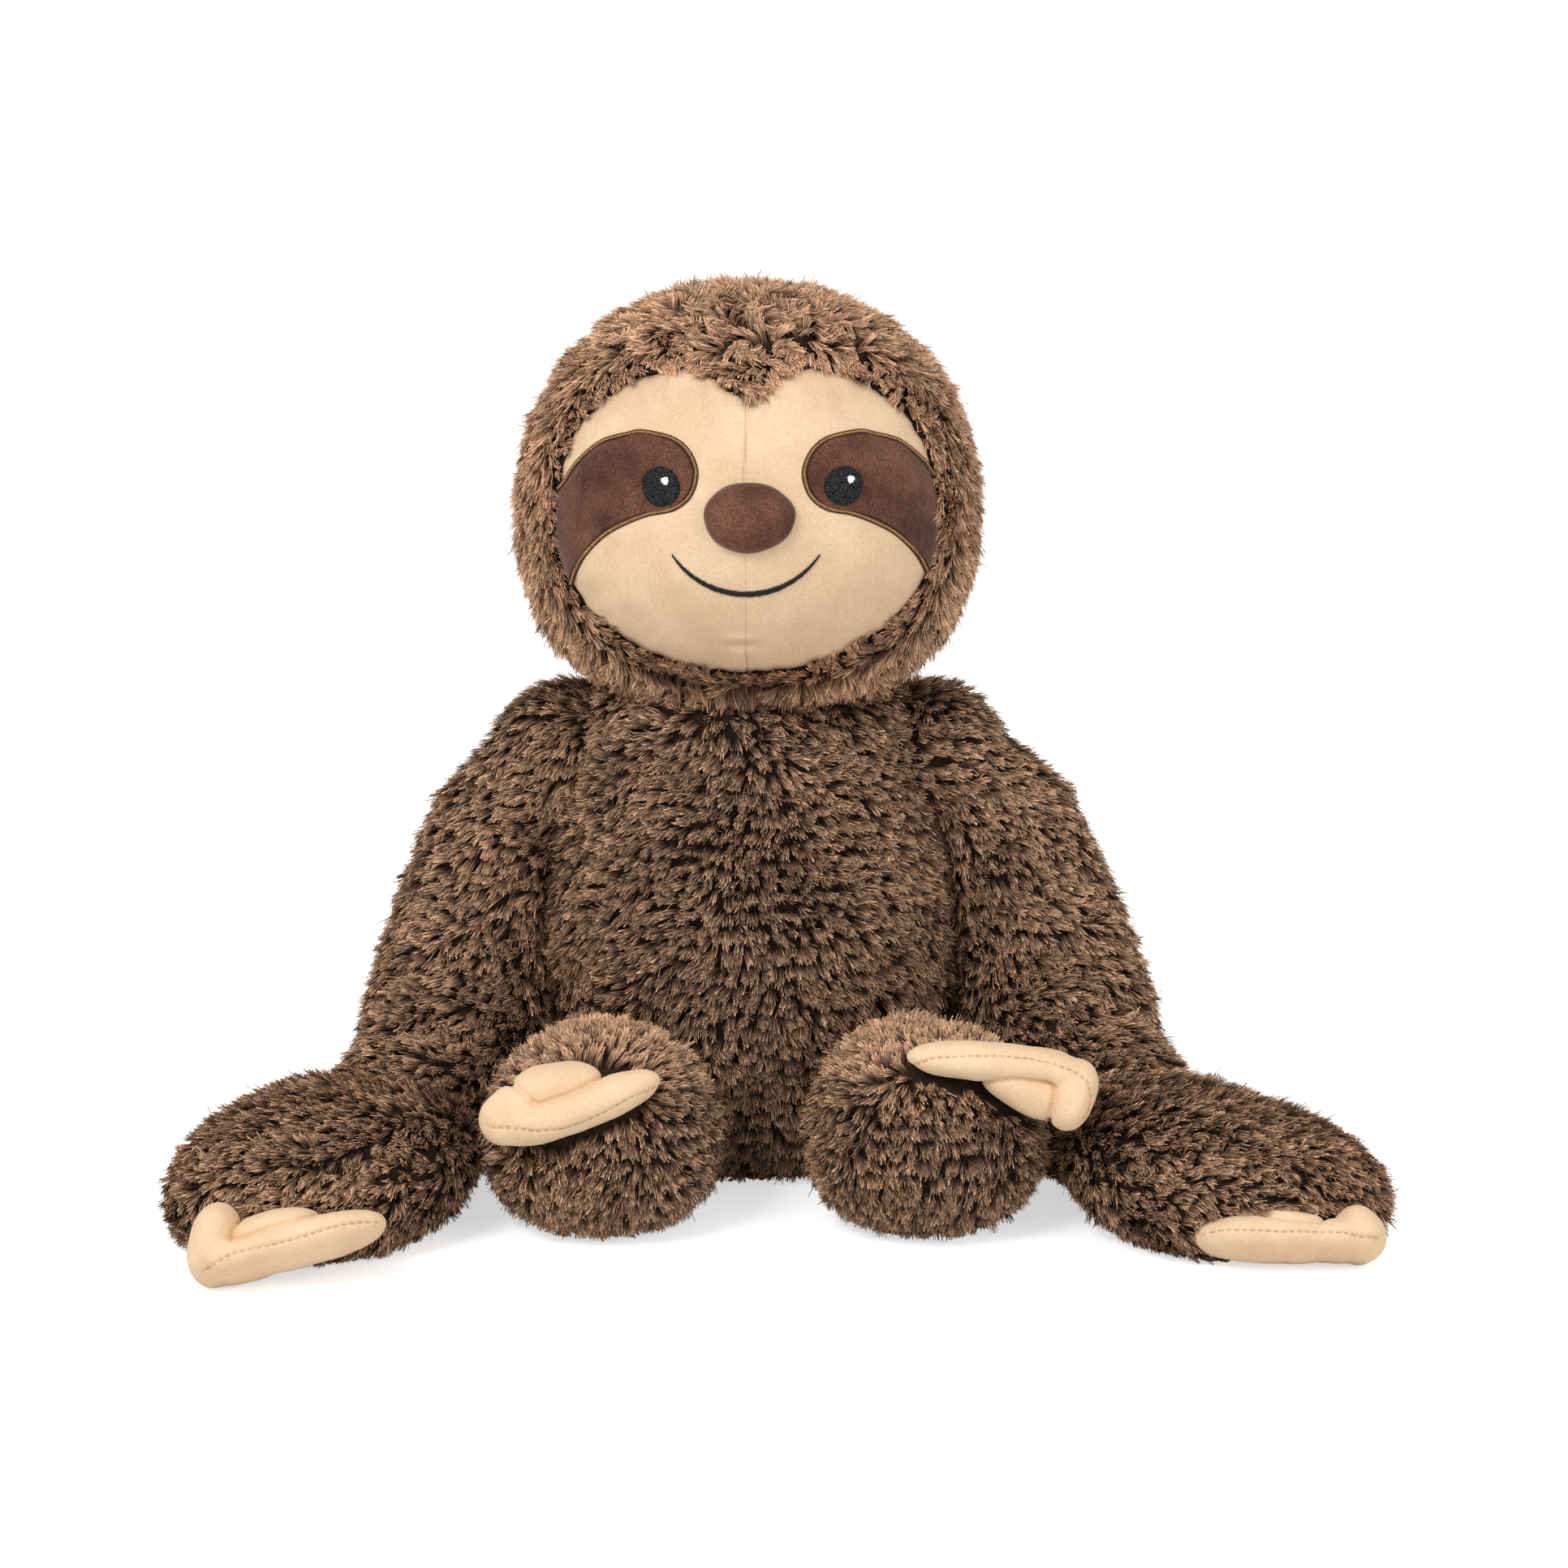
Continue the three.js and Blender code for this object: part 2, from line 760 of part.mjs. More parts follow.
function addEye(head, side, word) {
    const outline = smoothOutline(patchOutlineShares, side);
    const border = patchBorder / 2;
    const inFace = facePrism(-seamGap / 2);
    const patchLow = seamGap;
    const patchHigh = patchLow + appliqueThickness;
    const panel = onFace(offsetOutline(outline, -border - seamGap), patchLow, patchHigh);
    const edgeOuter = onFace(offsetOutline(outline, border), patchLow, patchHigh);
    const edgeInner = prismAlongY(offsetOutline(outline, -border), faceFront, faceBack);
    const edge = edgeOuter.subtract(edgeInner);
    const eyeX = side * eyeOut;
    const eyeZ = faceCentreHeight + eyeUp;
    const eyeLow = patchHigh + seamGap;
    const eyeHigh = eyeLow + appliqueThickness;
    const glintLow = eyeHigh + seamGap;
    const glintHigh = glintLow + appliqueThickness;
    const glintAt = circleOutline(eyeX + glintOut, eyeZ + glintUp, glintRadius);
    place(head, `${word}_eye_patch`, panel.intersect(inFace), brownMinky);
    place(head, `${word}_patch_edging`, edge.intersect(inFace), goldThread);
    place(head, `${word}_eye`, onFace(circleOutline(eyeX, eyeZ, eyeRadius), eyeLow, eyeHigh), blackThread);
    place(head, `${word}_eye_glint`, onFace(glintAt, glintLow, glintHigh), whiteThread);
}

function addNose(head) {
    const geometry = roundForm(noseHalfWidth, noseHalfDepth, noseHalfHeight, roundPower, pawSides, pawRings);
    const share = Math.sqrt(1 - ((faceCentreHeight + noseUp - headCentreHeight) / faceBulgeHalfHeight) ** 2);
    geometry.translate(0, -faceForward - faceBulgeHalfDepth * share, faceCentreHeight + noseUp);
    place(head, "nose", solidOf(geometry).subtract(faceForm(seamGap)), brownMinky);
}

function buildTorso() {
    const torso = new THREE.Group();
    const sockets = joined([
        neckCup(),
        ...sides.map(([side]) => ballSocket(shoulderRadius, shoulderOf(side), "y")),
        ...sides.map(([side]) => ballSocket(hipRadius, hipOf(side), "x")),
    ]);
    const body = (grow) => aboveFloor(torsoForm(grow), -grow);
    const skin = body(0).subtract(body(-furBacking)).subtract(sockets);
    const upperSkin = aboveFloor(skin, seatSeamHeight + seamGap);
    const seatHigh = new THREE.Vector3(reach, reach, seatSeamHeight);
    const seat = block(new THREE.Vector3(-reach, -reach, -overrun), seatHigh);
    const frontHigh = new THREE.Vector3(reach, sideSeamBack, topReach);
    const front = block(new THREE.Vector3(-reach, -reach, -overrun), frontHigh);
    const backLow = new THREE.Vector3(-reach, sideSeamBack + seamGap, -overrun);
    const back = block(backLow, new THREE.Vector3(reach, reach, topReach));
    for (const [side, word] of sides) {
        const panel = sideOf(upperSkin.intersect(front), side);
        place(torso, `${word}_torso_front_panel`, panel, brownFur);
    }
    place(torso, "torso_back_panel", upperSkin.intersect(back), brownFur);
    place(torso, "seat_panel", skin.intersect(seat), brownFur);
    place(torso, "torso_stuffing", body(-furBacking - seamGap).subtract(sockets), whiteFibre);
    toy.add(torso);
}

function buildArm(side, word) {
    const arm = new THREE.Group();
    const skin = armSolid(side, 0).subtract(armSolid(side, -furBacking));
    place(arm, `${word}_arm_front_panel`, skin.intersect(armFrontRegion(side, 0)), brownFur);
    place(arm, `${word}_arm_back_panel`, skin.subtract(armFrontRegion(side, seamGap)), brownFur);
    place(arm, `${word}_arm_stuffing`, armSolid(side, -furBacking - seamGap), whiteFibre);
    place(arm, `${word}_hand_claws`, claws(side, "hand"), beigeMinky);
    toy.add(arm);
}

function buildLeg(side, word) {
    const leg = new THREE.Group();
    const skin = legSolid(side, 0).subtract(legSolid(side, -furBacking));
    const seamHeight = footOf(side).z;
    const upperLow = new THREE.Vector3(-reach, -reach, seamHeight);
    const lowerHigh = new THREE.Vector3(reach, reach, seamHeight - seamGap);
    const upper = block(upperLow, new THREE.Vector3(reach, reach, topReach));
    const lower = block(new THREE.Vector3(-reach, -reach, -overrun), lowerHigh);
    place(leg, `${word}_leg_upper_panel`, skin.intersect(upper), brownFur);
    place(leg, `${word}_leg_lower_panel`, skin.intersect(lower), brownFur);
    place(leg, `${word}_leg_stuffing`, legSolid(side, -furBacking - seamGap), whiteFibre);
    place(leg, `${word}_foot_claws`, claws(side, "foot"), beigeMinky);
    toy.add(leg);
}

buildHead();
buildTorso();
for (const [side, word] of sides) {
    buildArm(side, word);
    buildLeg(side, word);
}

export default toy;
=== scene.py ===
"""Looks of a seated plush sloth: tufted fur on smooth stuffed forms, a minky face and claws.

Sizes are in metres, or in millimetres times MM. The toy looks along -Y, and +X is to its left.
Names say left and right as they are seen from the front.
"""

import functools
import itertools
import json
import math

import bmesh
import bpy
import numpy as np
from mathutils import Matrix, Vector
from mathutils.bvhtree import BVHTree
from mathutils.kdtree import KDTree


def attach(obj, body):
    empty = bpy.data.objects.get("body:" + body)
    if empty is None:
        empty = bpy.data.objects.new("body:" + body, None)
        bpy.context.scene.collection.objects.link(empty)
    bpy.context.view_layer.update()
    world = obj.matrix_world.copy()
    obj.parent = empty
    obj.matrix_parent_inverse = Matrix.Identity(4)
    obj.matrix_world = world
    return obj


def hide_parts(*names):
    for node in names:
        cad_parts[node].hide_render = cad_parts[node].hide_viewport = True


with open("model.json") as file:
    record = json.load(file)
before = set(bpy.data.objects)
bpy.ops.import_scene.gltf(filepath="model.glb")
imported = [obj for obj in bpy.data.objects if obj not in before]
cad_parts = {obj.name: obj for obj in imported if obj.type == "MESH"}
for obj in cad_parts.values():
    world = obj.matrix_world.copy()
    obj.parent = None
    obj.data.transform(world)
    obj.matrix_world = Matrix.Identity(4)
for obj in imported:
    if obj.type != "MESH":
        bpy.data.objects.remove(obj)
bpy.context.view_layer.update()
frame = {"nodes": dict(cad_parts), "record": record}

MM = 0.001
SIDES = ((-1, "left"), (1, "right"))

# Camera, as far and as high as the photograph's
CAMERA_TARGET = Vector((0.014, 0, 0.147))
CAMERA_DISTANCE = 1.6
CAMERA_ELEVATION = math.radians(12)
PHOTO_PIXELS = 1932
FOCAL_PIXELS = 5000
SENSOR = 36
# What both lamps point at
LIT = Vector((0, 0, 0.15))

# Forms under the fur
FORM_VOXEL = 3 * MM
FORM_SMOOTHING = 30
FORM_GROW = 2.2 * MM
FORM_FLOOR = 2.4 * MM
SKIN_THICKNESS = 1.2 * MM
SKIN_REACH = 5 * MM
SKIN_UNDER_FACE = 3
SMOOTH_FACTOR = 0.5
# A reach in metres that takes in all of the head
WHOLE_HEAD = 1
FACE_BACKING = 3.6
FACE_BACKING_REACH = 5

# Fur
TUFT_SPACING = 2.7 * MM
HEAD_TUFT_SPACING = 0.88 * TUFT_SPACING
TUFT_TRIES = 5
TUFT_LEAST_GAP = 0.82
TUFT_ROW = 6.2 * MM
TUFT_ROW_PULL = 1.6 * MM
STRANDS = 18
# The most faces of one piece of fur, in whole tufts
MOST_FACES = 95000 // (2 * STRANDS) * 2 * STRANDS
STRAND_WIDTH = 0.4 * MM
STRAND_TIP_SHARE = 0.7
TUFT_ROOT = 1.4 * MM
TUFT_TIP = 0.75 * MM
FUR_FLOOR = 0.4 * MM
FUR_REACH = 4 * MM
FUR_OVER_FACE = 2.2
HEAD_PILE = 7.6 * MM
TORSO_PILE = 7.4 * MM
ARM_PILE = 7.6 * MM
LEG_PILE = 6.4 * MM
WHORL = np.array([0.002, -0.05, 0.326])
WHORL_REACH = 48 * MM
WHORL_HEART = 24 * MM
FRINGE = 5  # millimetres beside the face
BELLY_SEAM = 2
CLAW_MARGIN = 0.8 * MM
CLAW_CLEARANCES = (0, 2.5 * MM, 5 * MM)
# Colours from root to tip, and what the tone of a strand multiplies them by. The dark roots are
# partly painted shade between the tufts; the top tones, pale and a little grey, are painted
# highlights.
FUR_COLOURS = [
    (0.0, (22, 14, 11)), (0.35, (62, 43, 33)), (0.7, (125, 92, 70)), (1.0, (226, 181, 144)),
]
FUR_TONES = [
    (0.0, (0.34, 0.33, 0.32)), (0.5, (0.82, 0.82, 0.81)),
    (0.92, (1.35, 1.36, 1.38)), (1.0, (1.9, 1.9, 1.9)),
]

# Face, in millimetres, as in the solids
HEAD_CENTRE = 260
FACE_CENTRE = 258
FACE_FORWARD = 21
FACE_BULGE = (81, 72, 71)
FACE_HALF_WIDTH = 74
FACE_TOP = 65
FACE_BOTTOM = 57.5
FACE_TOP_POWER = 2.5
FACE_BOTTOM_POWER = 2.1
PEAK_DROP = 12
PEAK_HALF_WIDTH = 15
FACE_ROLL = 3.2
EYE_OUT = 33
EYE_UP = 18.5
EYE_SHIFT = 2.4
EYE_RADIUS = 7
GLINT_RADIUS = 1.4
GLINT_OUT = 2.1
GLINT_UP = 1.8
NOSE_HALF_WIDTH = 16.6
NOSE_HALF_HEIGHT = 12.6
NOSE_SHIFT = 1.3
NOSE_UP = 8.5
NOSE_HEIGHT = 9
MOUTH_HALF_WIDTH = 27
MOUTH_CORNER_DROP = 5.7
MOUTH_SAG = 14.2
MOUTH_HEIGHT = 0.35
EDGING_CLEARANCE = 2.6
# The muzzle, the cheeks and the pucker of the chin: height, where across and up, and how far each
# spreads across and up
FACE_BUMPS = [
    (2.2, 0, 7, 17, 17),
    (3.0, 0, -20, 44, 24),
    (-2.0, -1.5, -41.5, 3.2, 1.3),
    (0.9, -2.5, -38.8, 4.5, 1.6),
]
# How far each hem goes out and back under the fur, and, of a patch, down where it's in sight
FACE_HEMS = ((0.8, 1.5), (1.2, 5))
PATCH_HEMS = ((1.1, 1.4, 0.4), (1.6, 5, 0.8))
PATCH_SHIFT = 1.6
PATCH_MIDDLE = (56, 13)
# Each point: out and up from the face's middle
PATCH_OUTLINE = [
    (19.6, 22), (22.3, 15.3), (28.3, 10.7), (37.3, 8.4), (45.6, 4.8), (53.9, -0.5), (61.3, -8.6),
    (65, -15.4), (68.7, -24.2), (77, -33), (87, -8), (82, 12), (72.7, 13.7), (64.7, 24.6),
    (55.3, 32.8), (45.7, 36.2), (39.9, 37.5), (29.3, 36.1), (23.5, 32.7), (20.2, 27.4),
]

# Claws
CLAW_HALF_WIDTH = 36 * MM
CLAW_DEPTH = {"foot": 11 * MM, "hand": 17 * MM}
CLAW_LEAN = {"foot": math.radians(14), "hand": math.radians(32)}
CLAW_VOXEL = 0.55 * MM
CLAW_SMOOTHING = 4
JOIN_SMOOTHING = 60
CLAW_BLUNTNESS = 2.7
FLOOR_CUT = 0.5 * MM
CLAW_FLOOR = 0.25 * MM
# Along a claw's seam, in millimetres: its points, and the stitches that pinch it
SEAM_STEP = 0.4
SEAM_PITCH = 1.6
SEAM_STITCHES = slice(3, -3, 7)
# Each claw piece: its place, out, forward and up in millimetres; its fingers, each across, up,
# forward, half length, half width and tilt in degrees, the one tucked behind the others first; and
# the seam on its front, across and up
CLAWS = {
    "left_foot": (
        (63.5, 139.4, 60.3),
        [(-0.15, 0.09, 0.0, 0.48, 0.25, 8), (0.1, -0.12, 0.1, 0.86, 0.225, 21),
         (-0.62, -0.19, 0.04, 0.34, 0.27, 40), (-0.36, -0.26, 0.08, 0.36, 0.2, 10)],
        [(0.91, 0.1), (0.64, 0.0), (0.37, -0.15), (0.15, -0.26), (-0.07, -0.33), (-0.33, -0.35),
         (-0.47, -0.33), (-0.67, -0.31), (-0.85, -0.31)],
    ),
    "right_foot": (
        (91.1, 133.7, 60.3),
        [(0.3, 0.06, 0.0, 0.5, 0.26, -30), (0.0, 0.3, 0.1, 0.9, 0.205, -4),
         (0.79, -0.03, 0.06, 0.38, 0.24, 72), (0.66, 0.21, 0.05, 0.28, 0.19, -26)],
        [(-0.86, 0.24), (-0.65, 0.35), (-0.28, 0.38), (0.06, 0.38), (0.35, 0.35), (0.6, 0.29),
         (0.8, 0.22), (0.94, 0.11), (0.98, -0.05), (0.95, -0.2), (0.88, -0.32)],
    ),
    "left_hand": (
        (164, 175, 22),
        [(-0.13, 0.1, 0.0, 0.5, 0.23, 15), (-0.72, -0.01, 0.06, 0.42, 0.25, 81),
         (0.18, 0.0, 0.12, 0.84, 0.21, 15), (-0.4, -0.18, 0.11, 0.46, 0.19, 13)],
        [(0.95, 0.16), (0.61, 0.08), (0.25, -0.04), (0.0, -0.11), (-0.28, -0.17), (-0.49, -0.22),
         (-0.64, -0.3), (-0.8, -0.36)],
    ),
    "right_hand": (
        (195, 155, 22),
        [(0.09, 0.07, 0.0, 0.47, 0.2, -8), (-0.09, -0.03, 0.12, 0.81, 0.22, -2),
         (0.77, 0.03, 0.06, 0.29, 0.25, -50), (0.5, -0.04, 0.1, 0.34, 0.2, -2)],
        [(-0.86, -0.03), (-0.67, -0.02), (-0.37, -0.04), (-0.06, -0.06), (0.28, -0.05),
         (0.55, -0.06), (0.73, -0.09), (0.93, -0.1)],
    ),
}

# Sag of the stuffing, in millimetres and shares
FOOT_OUT = {"left_leg": -54, "right_leg": 67}
FOOT_UP = 42
FOOT_SPREAD = 0.13
HAND_SINK = 0.12
HAND_STRETCH = 5

rng = np.random.default_rng(7)


# Meshes and objects


def link(name, data):
    obj = bpy.data.objects.new(name, data)
    bpy.context.scene.collection.objects.link(obj)
    return obj


def cover(mesh, material):
    """Gives a mesh smooth shading and one material."""
    mesh.polygons.foreach_set("use_smooth", np.ones(len(mesh.polygons), bool))
    mesh.materials.clear()
    mesh.materials.append(material)


def mesh_object(name, points, faces, material):
    mesh = bpy.data.meshes.new(name)
    mesh.from_pydata([tuple(p) for p in points], [], faces)
    mesh.update()
    cover(mesh, material)
    return link(name, mesh)


def give(item, settings):
    for key, value in settings.items():
        setattr(item, key, value)


def modify(obj, kind, **settings):
    give(obj.modifiers.new(kind, kind), settings)


def apply(obj):
    """Replaces obj's mesh by what its modifiers make of it."""
    bpy.context.view_layer.update()
    shown = obj.evaluated_get(bpy.context.evaluated_depsgraph_get())
    mesh = bpy.data.meshes.new_from_object(shown)
    obj.modifiers.clear()
    obj.data = mesh


def thicken(obj, thickness):
    modify(obj, "SOLIDIFY", thickness=thickness, offset=-1)
    apply(obj)


def remesh(obj, voxel, times):
    """Remeshes an object's shape in voxels and smooths it."""
    modify(obj, "REMESH", mode="VOXEL", voxel_size=voxel, use_smooth_shade=True)
    modify(obj, "SMOOTH", iterations=times, factor=SMOOTH_FACTOR)
    apply(obj)


def joined(name, objects):
    """One object from several, with all their materials."""
    for obj in bpy.context.selected_objects:
        obj.select_set(False)
    for obj in objects:
        obj.select_set(True)
    bpy.context.view_layer.objects.active = objects[0]
    bpy.ops.object.join()
    objects[0].name = name
    return objects[0]


def read(items, key, kind=float):
    """What key gives for each item, as rows of three numbers."""
    values = np.zeros(len(items) * 3, kind)
    items.foreach_get(key, values)
    return values.reshape(-1, 3)


def arrays(mesh):
    """The points of a mesh and the normals there."""
    return read(mesh.vertices, "co"), read(mesh.vertices, "normal")


def move(mesh, points):
    mesh.vertices.foreach_set("co", points.ravel())


def declare(obj, body, node):
    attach(obj, body)
    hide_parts(node)


def unit(vectors):
    length = np.linalg.norm(vectors, axis=-1, keepdims=True)
    return vectors / np.maximum(length, 1e-12)


# Smooth noise: a sum of sines of points, one value a point, from -1 to 1


def wave_noise(points, size, seed, count=6):
    local = np.random.default_rng(seed)
    total = np.zeros(len(points))
    for _ in range(count):
        direction = unit(local.normal(size=3))
        scale = size * local.uniform(0.7, 1.4)
        total += np.sin(points @ direction * (2 * math.pi / scale) + local.uniform(0, 2 * math.pi))
    return total / count * 1.6


# Materials


class Nodes:
    """The node tree of a new material or world, with short calls to add and join nodes."""

    def __init__(self, name, kind="Material"):
        self.block = {"Material": bpy.data.materials, "World": bpy.data.worlds}[kind].new(name)
        self.block.use_nodes = True
        self.tree = self.block.node_tree
        self.tree.nodes.clear()
        self.output = self.add("Output" + kind)

    def add(self, kind, values=None, **settings):
        """A node with its settings, and the values of its sockets."""
        node = self.tree.nodes.new("ShaderNode" + kind)
        give(node, settings)
        for key, value in (values or {}).items():
            node.inputs[key].default_value = value
        return node

    def join(self, source, node, socket):
        self.tree.links.new(source, node.inputs[socket])

    def shader(self, colour, roughness, specular, sheen=()):
        """The material's shader. Sheen is its weight, roughness and tint."""
        values = {"Roughness": roughness, "Specular IOR Level": specular}
        shader = self.add("BsdfPrincipled", values)
        for key, value in zip(("Weight", "Roughness", "Tint"), sheen):
            shader.inputs["Sheen " + key].default_value = value
        self.join(colour, shader, "Base Color")
        self.join(shader.outputs[0], self.output, "Surface")
        return shader

    def noise(self, scale, detail=3.0, roughness=0.5, stretch=None):
        noise = self.add("TexNoise", {"Scale": scale, "Detail": detail, "Roughness": roughness})
        place = self.add("TexCoord").outputs["Object"]
        if stretch:
            mapping = self.add("Mapping", {"Scale": stretch})
            self.join(place, mapping, "Vector")
            place = mapping.outputs["Vector"]
        self.join(place, noise, "Vector")
        return noise.outputs["Fac"]

    def ramp(self, source, stops):
        ramp = self.add("ValToRGB")
        elements = ramp.color_ramp.elements
        while len(elements) < len(stops):
            elements.new(0.5)
        for element, (place, colour) in zip(elements, stops):
            element.position = place
            element.color = (*colour, 1)
        self.join(source, ramp, "Fac")
        return ramp.outputs["Color"]

    def multiply(self, share, first, second):
        mix = self.add("Mix", {0: share}, data_type="RGBA", blend_type="MULTIPLY")
        self.join(first, mix, 6)
        self.join(second, mix, 7)
        return mix.outputs[2]

    def bump(self, shader, height, distance, strength=1.0):
        bump = self.add("Bump", {"Distance": distance, "Strength": strength})
        self.join(height, bump, "Height")
        self.join(bump.outputs["Normal"], shader, "Normal")


def linear(*colour):
    """A screen colour, 0 to 255, as the linear colour that nodes take."""
    shares = [value / 255 for value in colour]
    return tuple(s / 12.92 if s <= 0.04045 else ((s + 0.055) / 1.055) ** 2.4 for s in shares)


def fur_material():
    """Along a strand U goes from root to tip, and V is the strand's tone, with painted light and
    shade in it.
    """
    made = Nodes("brown_fur")
    parts = made.add("SeparateXYZ")
    made.join(made.add("UVMap", uv_map="strand").outputs["UV"], parts, "Vector")
    colours = [(place, linear(*colour)) for place, colour in FUR_COLOURS]
    along, tone = made.ramp(parts.outputs["X"], colours), made.ramp(parts.outputs["Y"], FUR_TONES)
    colour = made.multiply(1.0, along, tone)
    made.shader(colour, 0.6, 0.2, sheen=(0.12, 0.45, (0.9, 0.72, 0.56, 1)))
    return made.block


def speckled_material(name, dark, light, stops, grain, bumps, distance, roughness, specular):
    """Cloth, fibre or thread between two colours, with the noise of its colour and of its bumps."""
    made = Nodes(name)
    colour = made.ramp(made.noise(*grain), [(stops[0], linear(*dark)), (stops[1], linear(*light))])
    shader = made.shader(colour, roughness, specular)
    made.bump(shader, made.noise(*bumps), distance)
    return made.block


def minky_material(name, dark, light, sheen, speck, grain_scale=1000):
    """Short dense pile: a velvet sheen, fine grain of the pile, and broad patches of painted sheen
    where it lies.
    """
    made = Nodes(name)
    grain = made.noise(grain_scale, 3, 0.7)
    lay_sheen_noise = made.noise(420, 3, 0.6, stretch=(1.0, 1.0, 0.35))
    colour = made.ramp(made.noise(45, 3, 0.6), [(0.32, linear(*dark)), (0.68, linear(*light))])
    specks = made.ramp(grain, [(0.38, (0.42,) * 3), (0.62, (1.52,) * 3)])
    # Painted sheen: broad patches, lighter and darker where the pile lies one way or another.
    painted_sheen = made.ramp(lay_sheen_noise, [(0.3, (0.86, 0.85, 0.84)), (0.7, (1.05,) * 3)])
    colour = made.multiply(speck, made.multiply(speck, colour, specks), painted_sheen)
    shader = made.shader(colour, 0.85, 0.2, sheen=(sheen, 0.4, (1.0, 0.9, 0.8, 1)))
    made.bump(shader, grain, 0.12 * MM, 0.7)
    return made.block


def thread_material(name, dark, light, roughness=0.45, specular=0.35, scale=2200):
    """Twisted thread: fine light and dark along it."""
    values = (0.38, 0.66), (scale, 3, 0.7), (2600, 2), 0.08 * MM, roughness, specular
    return speckled_material(name, dark, light, *values)


brown_fur = fur_material()
# Dark backing cloth: partly painted shade, which shows in the gaps between tufts.
fur_backing = speckled_material(
    "fur_backing", (34, 24, 19), (58, 42, 33), (0.3, 0.7), (600, 4), (900, 3), 0.3 * MM, 0.9, 0.1
)
stuffing_fibre = speckled_material(
    "stuffing_fibre", (214, 212, 206), (244, 243, 239), (0.3, 0.7),
    (260, 5, 0.7), (320, 5, 0.7), 1.2 * MM, 0.95, 0.2,
)
beige_minky = minky_material("beige_minky", (229, 194, 156), (241, 210, 175), 0.25, 0.1)
# The face's copy of the beige minky is a little darker: painted shade.
face_minky = minky_material("face_minky", (220, 187, 152), (233, 203, 169), 0.25, 0.13)
brown_minky = minky_material("brown_minky", (72, 43, 33), (121, 80, 62), 0.3, 0.7, 1150)
black_thread = thread_material("black_thread", (10, 11, 13), (40, 42, 46))
# The eyes' black thread has fine pale specks: painted glints on its stitches.
eye_thread = thread_material("eye_thread", (2, 2, 3), (62, 63, 66), 0.7, 0.08, 1400)
gold_thread = thread_material("gold_thread", (128, 84, 46), (228, 172, 108))
dark_thread = thread_material("dark_thread", (38, 22, 16), (74, 46, 33))
white_thread = thread_material("white_thread", (225, 228, 232), (255, 255, 255))
seam_thread = thread_material("seam_thread", (186, 148, 110), (228, 195, 157))


# Face shapes. Here x and z are millimetres from the face's middle, and heights stand out from it.


def bell(distance, spread):
    return np.exp(-((distance / spread) ** 2) / 2)


def ease(value, low, high):
    """0 at low and 1 at high, with a smooth run between."""
    share = np.clip((value - low) / (high - low), 0, 1)
    return share * share * (3 - 2 * share)


def face_edge(angle):
    cosine, sine = np.cos(angle), np.sin(angle)
    up = sine >= 0
    power = np.where(up, FACE_TOP_POWER, FACE_BOTTOM_POWER)
    x = FACE_HALF_WIDTH * np.sign(cosine) * np.abs(cosine) ** (2 / power)
    z = np.where(up, FACE_TOP, -FACE_BOTTOM) * np.abs(sine) ** (2 / power)
    return x, z - np.where(up, PEAK_DROP * np.exp(-((x / PEAK_HALF_WIDTH) ** 2)), 0)


def face_noise(x, z, size, seed, count=6):
    return wave_noise(np.stack([x, z, x * 0], 1), size, seed, count)


def face_relief(x, z, sewn):
    """Bumps and hollows of the stuffed face, its seam and puckers, and the folds at its top."""
    relief = 0
    for height, across, up, wide, tall in FACE_BUMPS:
        relief = relief + height * bell(np.hypot((x - across) / wide, (z - up) / tall), 1)
    relief -= 1.6 * bell(np.hypot(np.abs(x) - EYE_OUT, z - EYE_UP), 13)
    relief -= 1.0 * bell(x, 7) * ease(z, 16, 34)
    wander = 0.35 * np.sin(z / 5.3) + 0.2 * np.sin(z / 2.1)
    seam = 0.75 * ease(z, 17, 24) + 0.8 * ease(-z, 41, 45) + 0.1
    relief -= sewn * seam * bell(x - wander, 0.42)
    relief += sewn * 0.12 * np.sin(z * 3.1) * bell(x, 2.2) * ease(z, 17, 24)
    fold = np.sin(2 * math.pi * (x + 0.4 * z) / 9.5)
    relief += 0.75 * fold * ease(z, 34, 52) * (bell(x + 32, 15) + 0.5 * bell(x - 34, 15))
    return relief + 0.4 * face_noise(x, z, 34, 31) + 0.12 * face_noise(x, z, 11, 33)


def face_point(x, z, height=0.0, sewn=1):
    """The point of the face's surface at x and z, in metres, and height above it.

    With sewn at nought the seam down the middle is left out.
    """

    def surface(x, z):
        wide, deep, tall = FACE_BULGE
        rise = 1 - (x / wide) ** 2 - ((z + FACE_CENTRE - HEAD_CENTRE) / tall) ** 2
        return -FACE_FORWARD - deep * np.sqrt(np.maximum(rise, 0.02)) - face_relief(x, z, sewn)

    step = 0.4
    y = surface(x, z)
    slope_x = (surface(x + step, z) - surface(x - step, z)) / (2 * step)
    slope_z = (surface(x, z + step) - surface(x, z - step)) / (2 * step)
    out = unit(np.stack([slope_x, -np.ones_like(x), slope_z], 1))
    points = np.stack([x, y, z + FACE_CENTRE], 1) + out * np.reshape(height, (-1, 1))
    return points * MM, out


def grid_faces(rows, columns, closed):
    """Quads of a grid of points, row after row. Closed, its last column joins its first."""
    faces = []
    for start in range(0, (rows - 1) * columns, columns):
        for column in range(columns - (not closed)):
            here, after = start + column, start + (column + 1) % columns
            faces.append((here, after, after + columns, here + columns))
    return faces


def face_piece(name, points, faces, material, thickness, node):
    """A piece of the head, with its thickness in millimetres."""
    piece = mesh_object(name, points, faces, material)
    thicken(piece, thickness * MM)
    declare(piece, "head", node)
    return piece


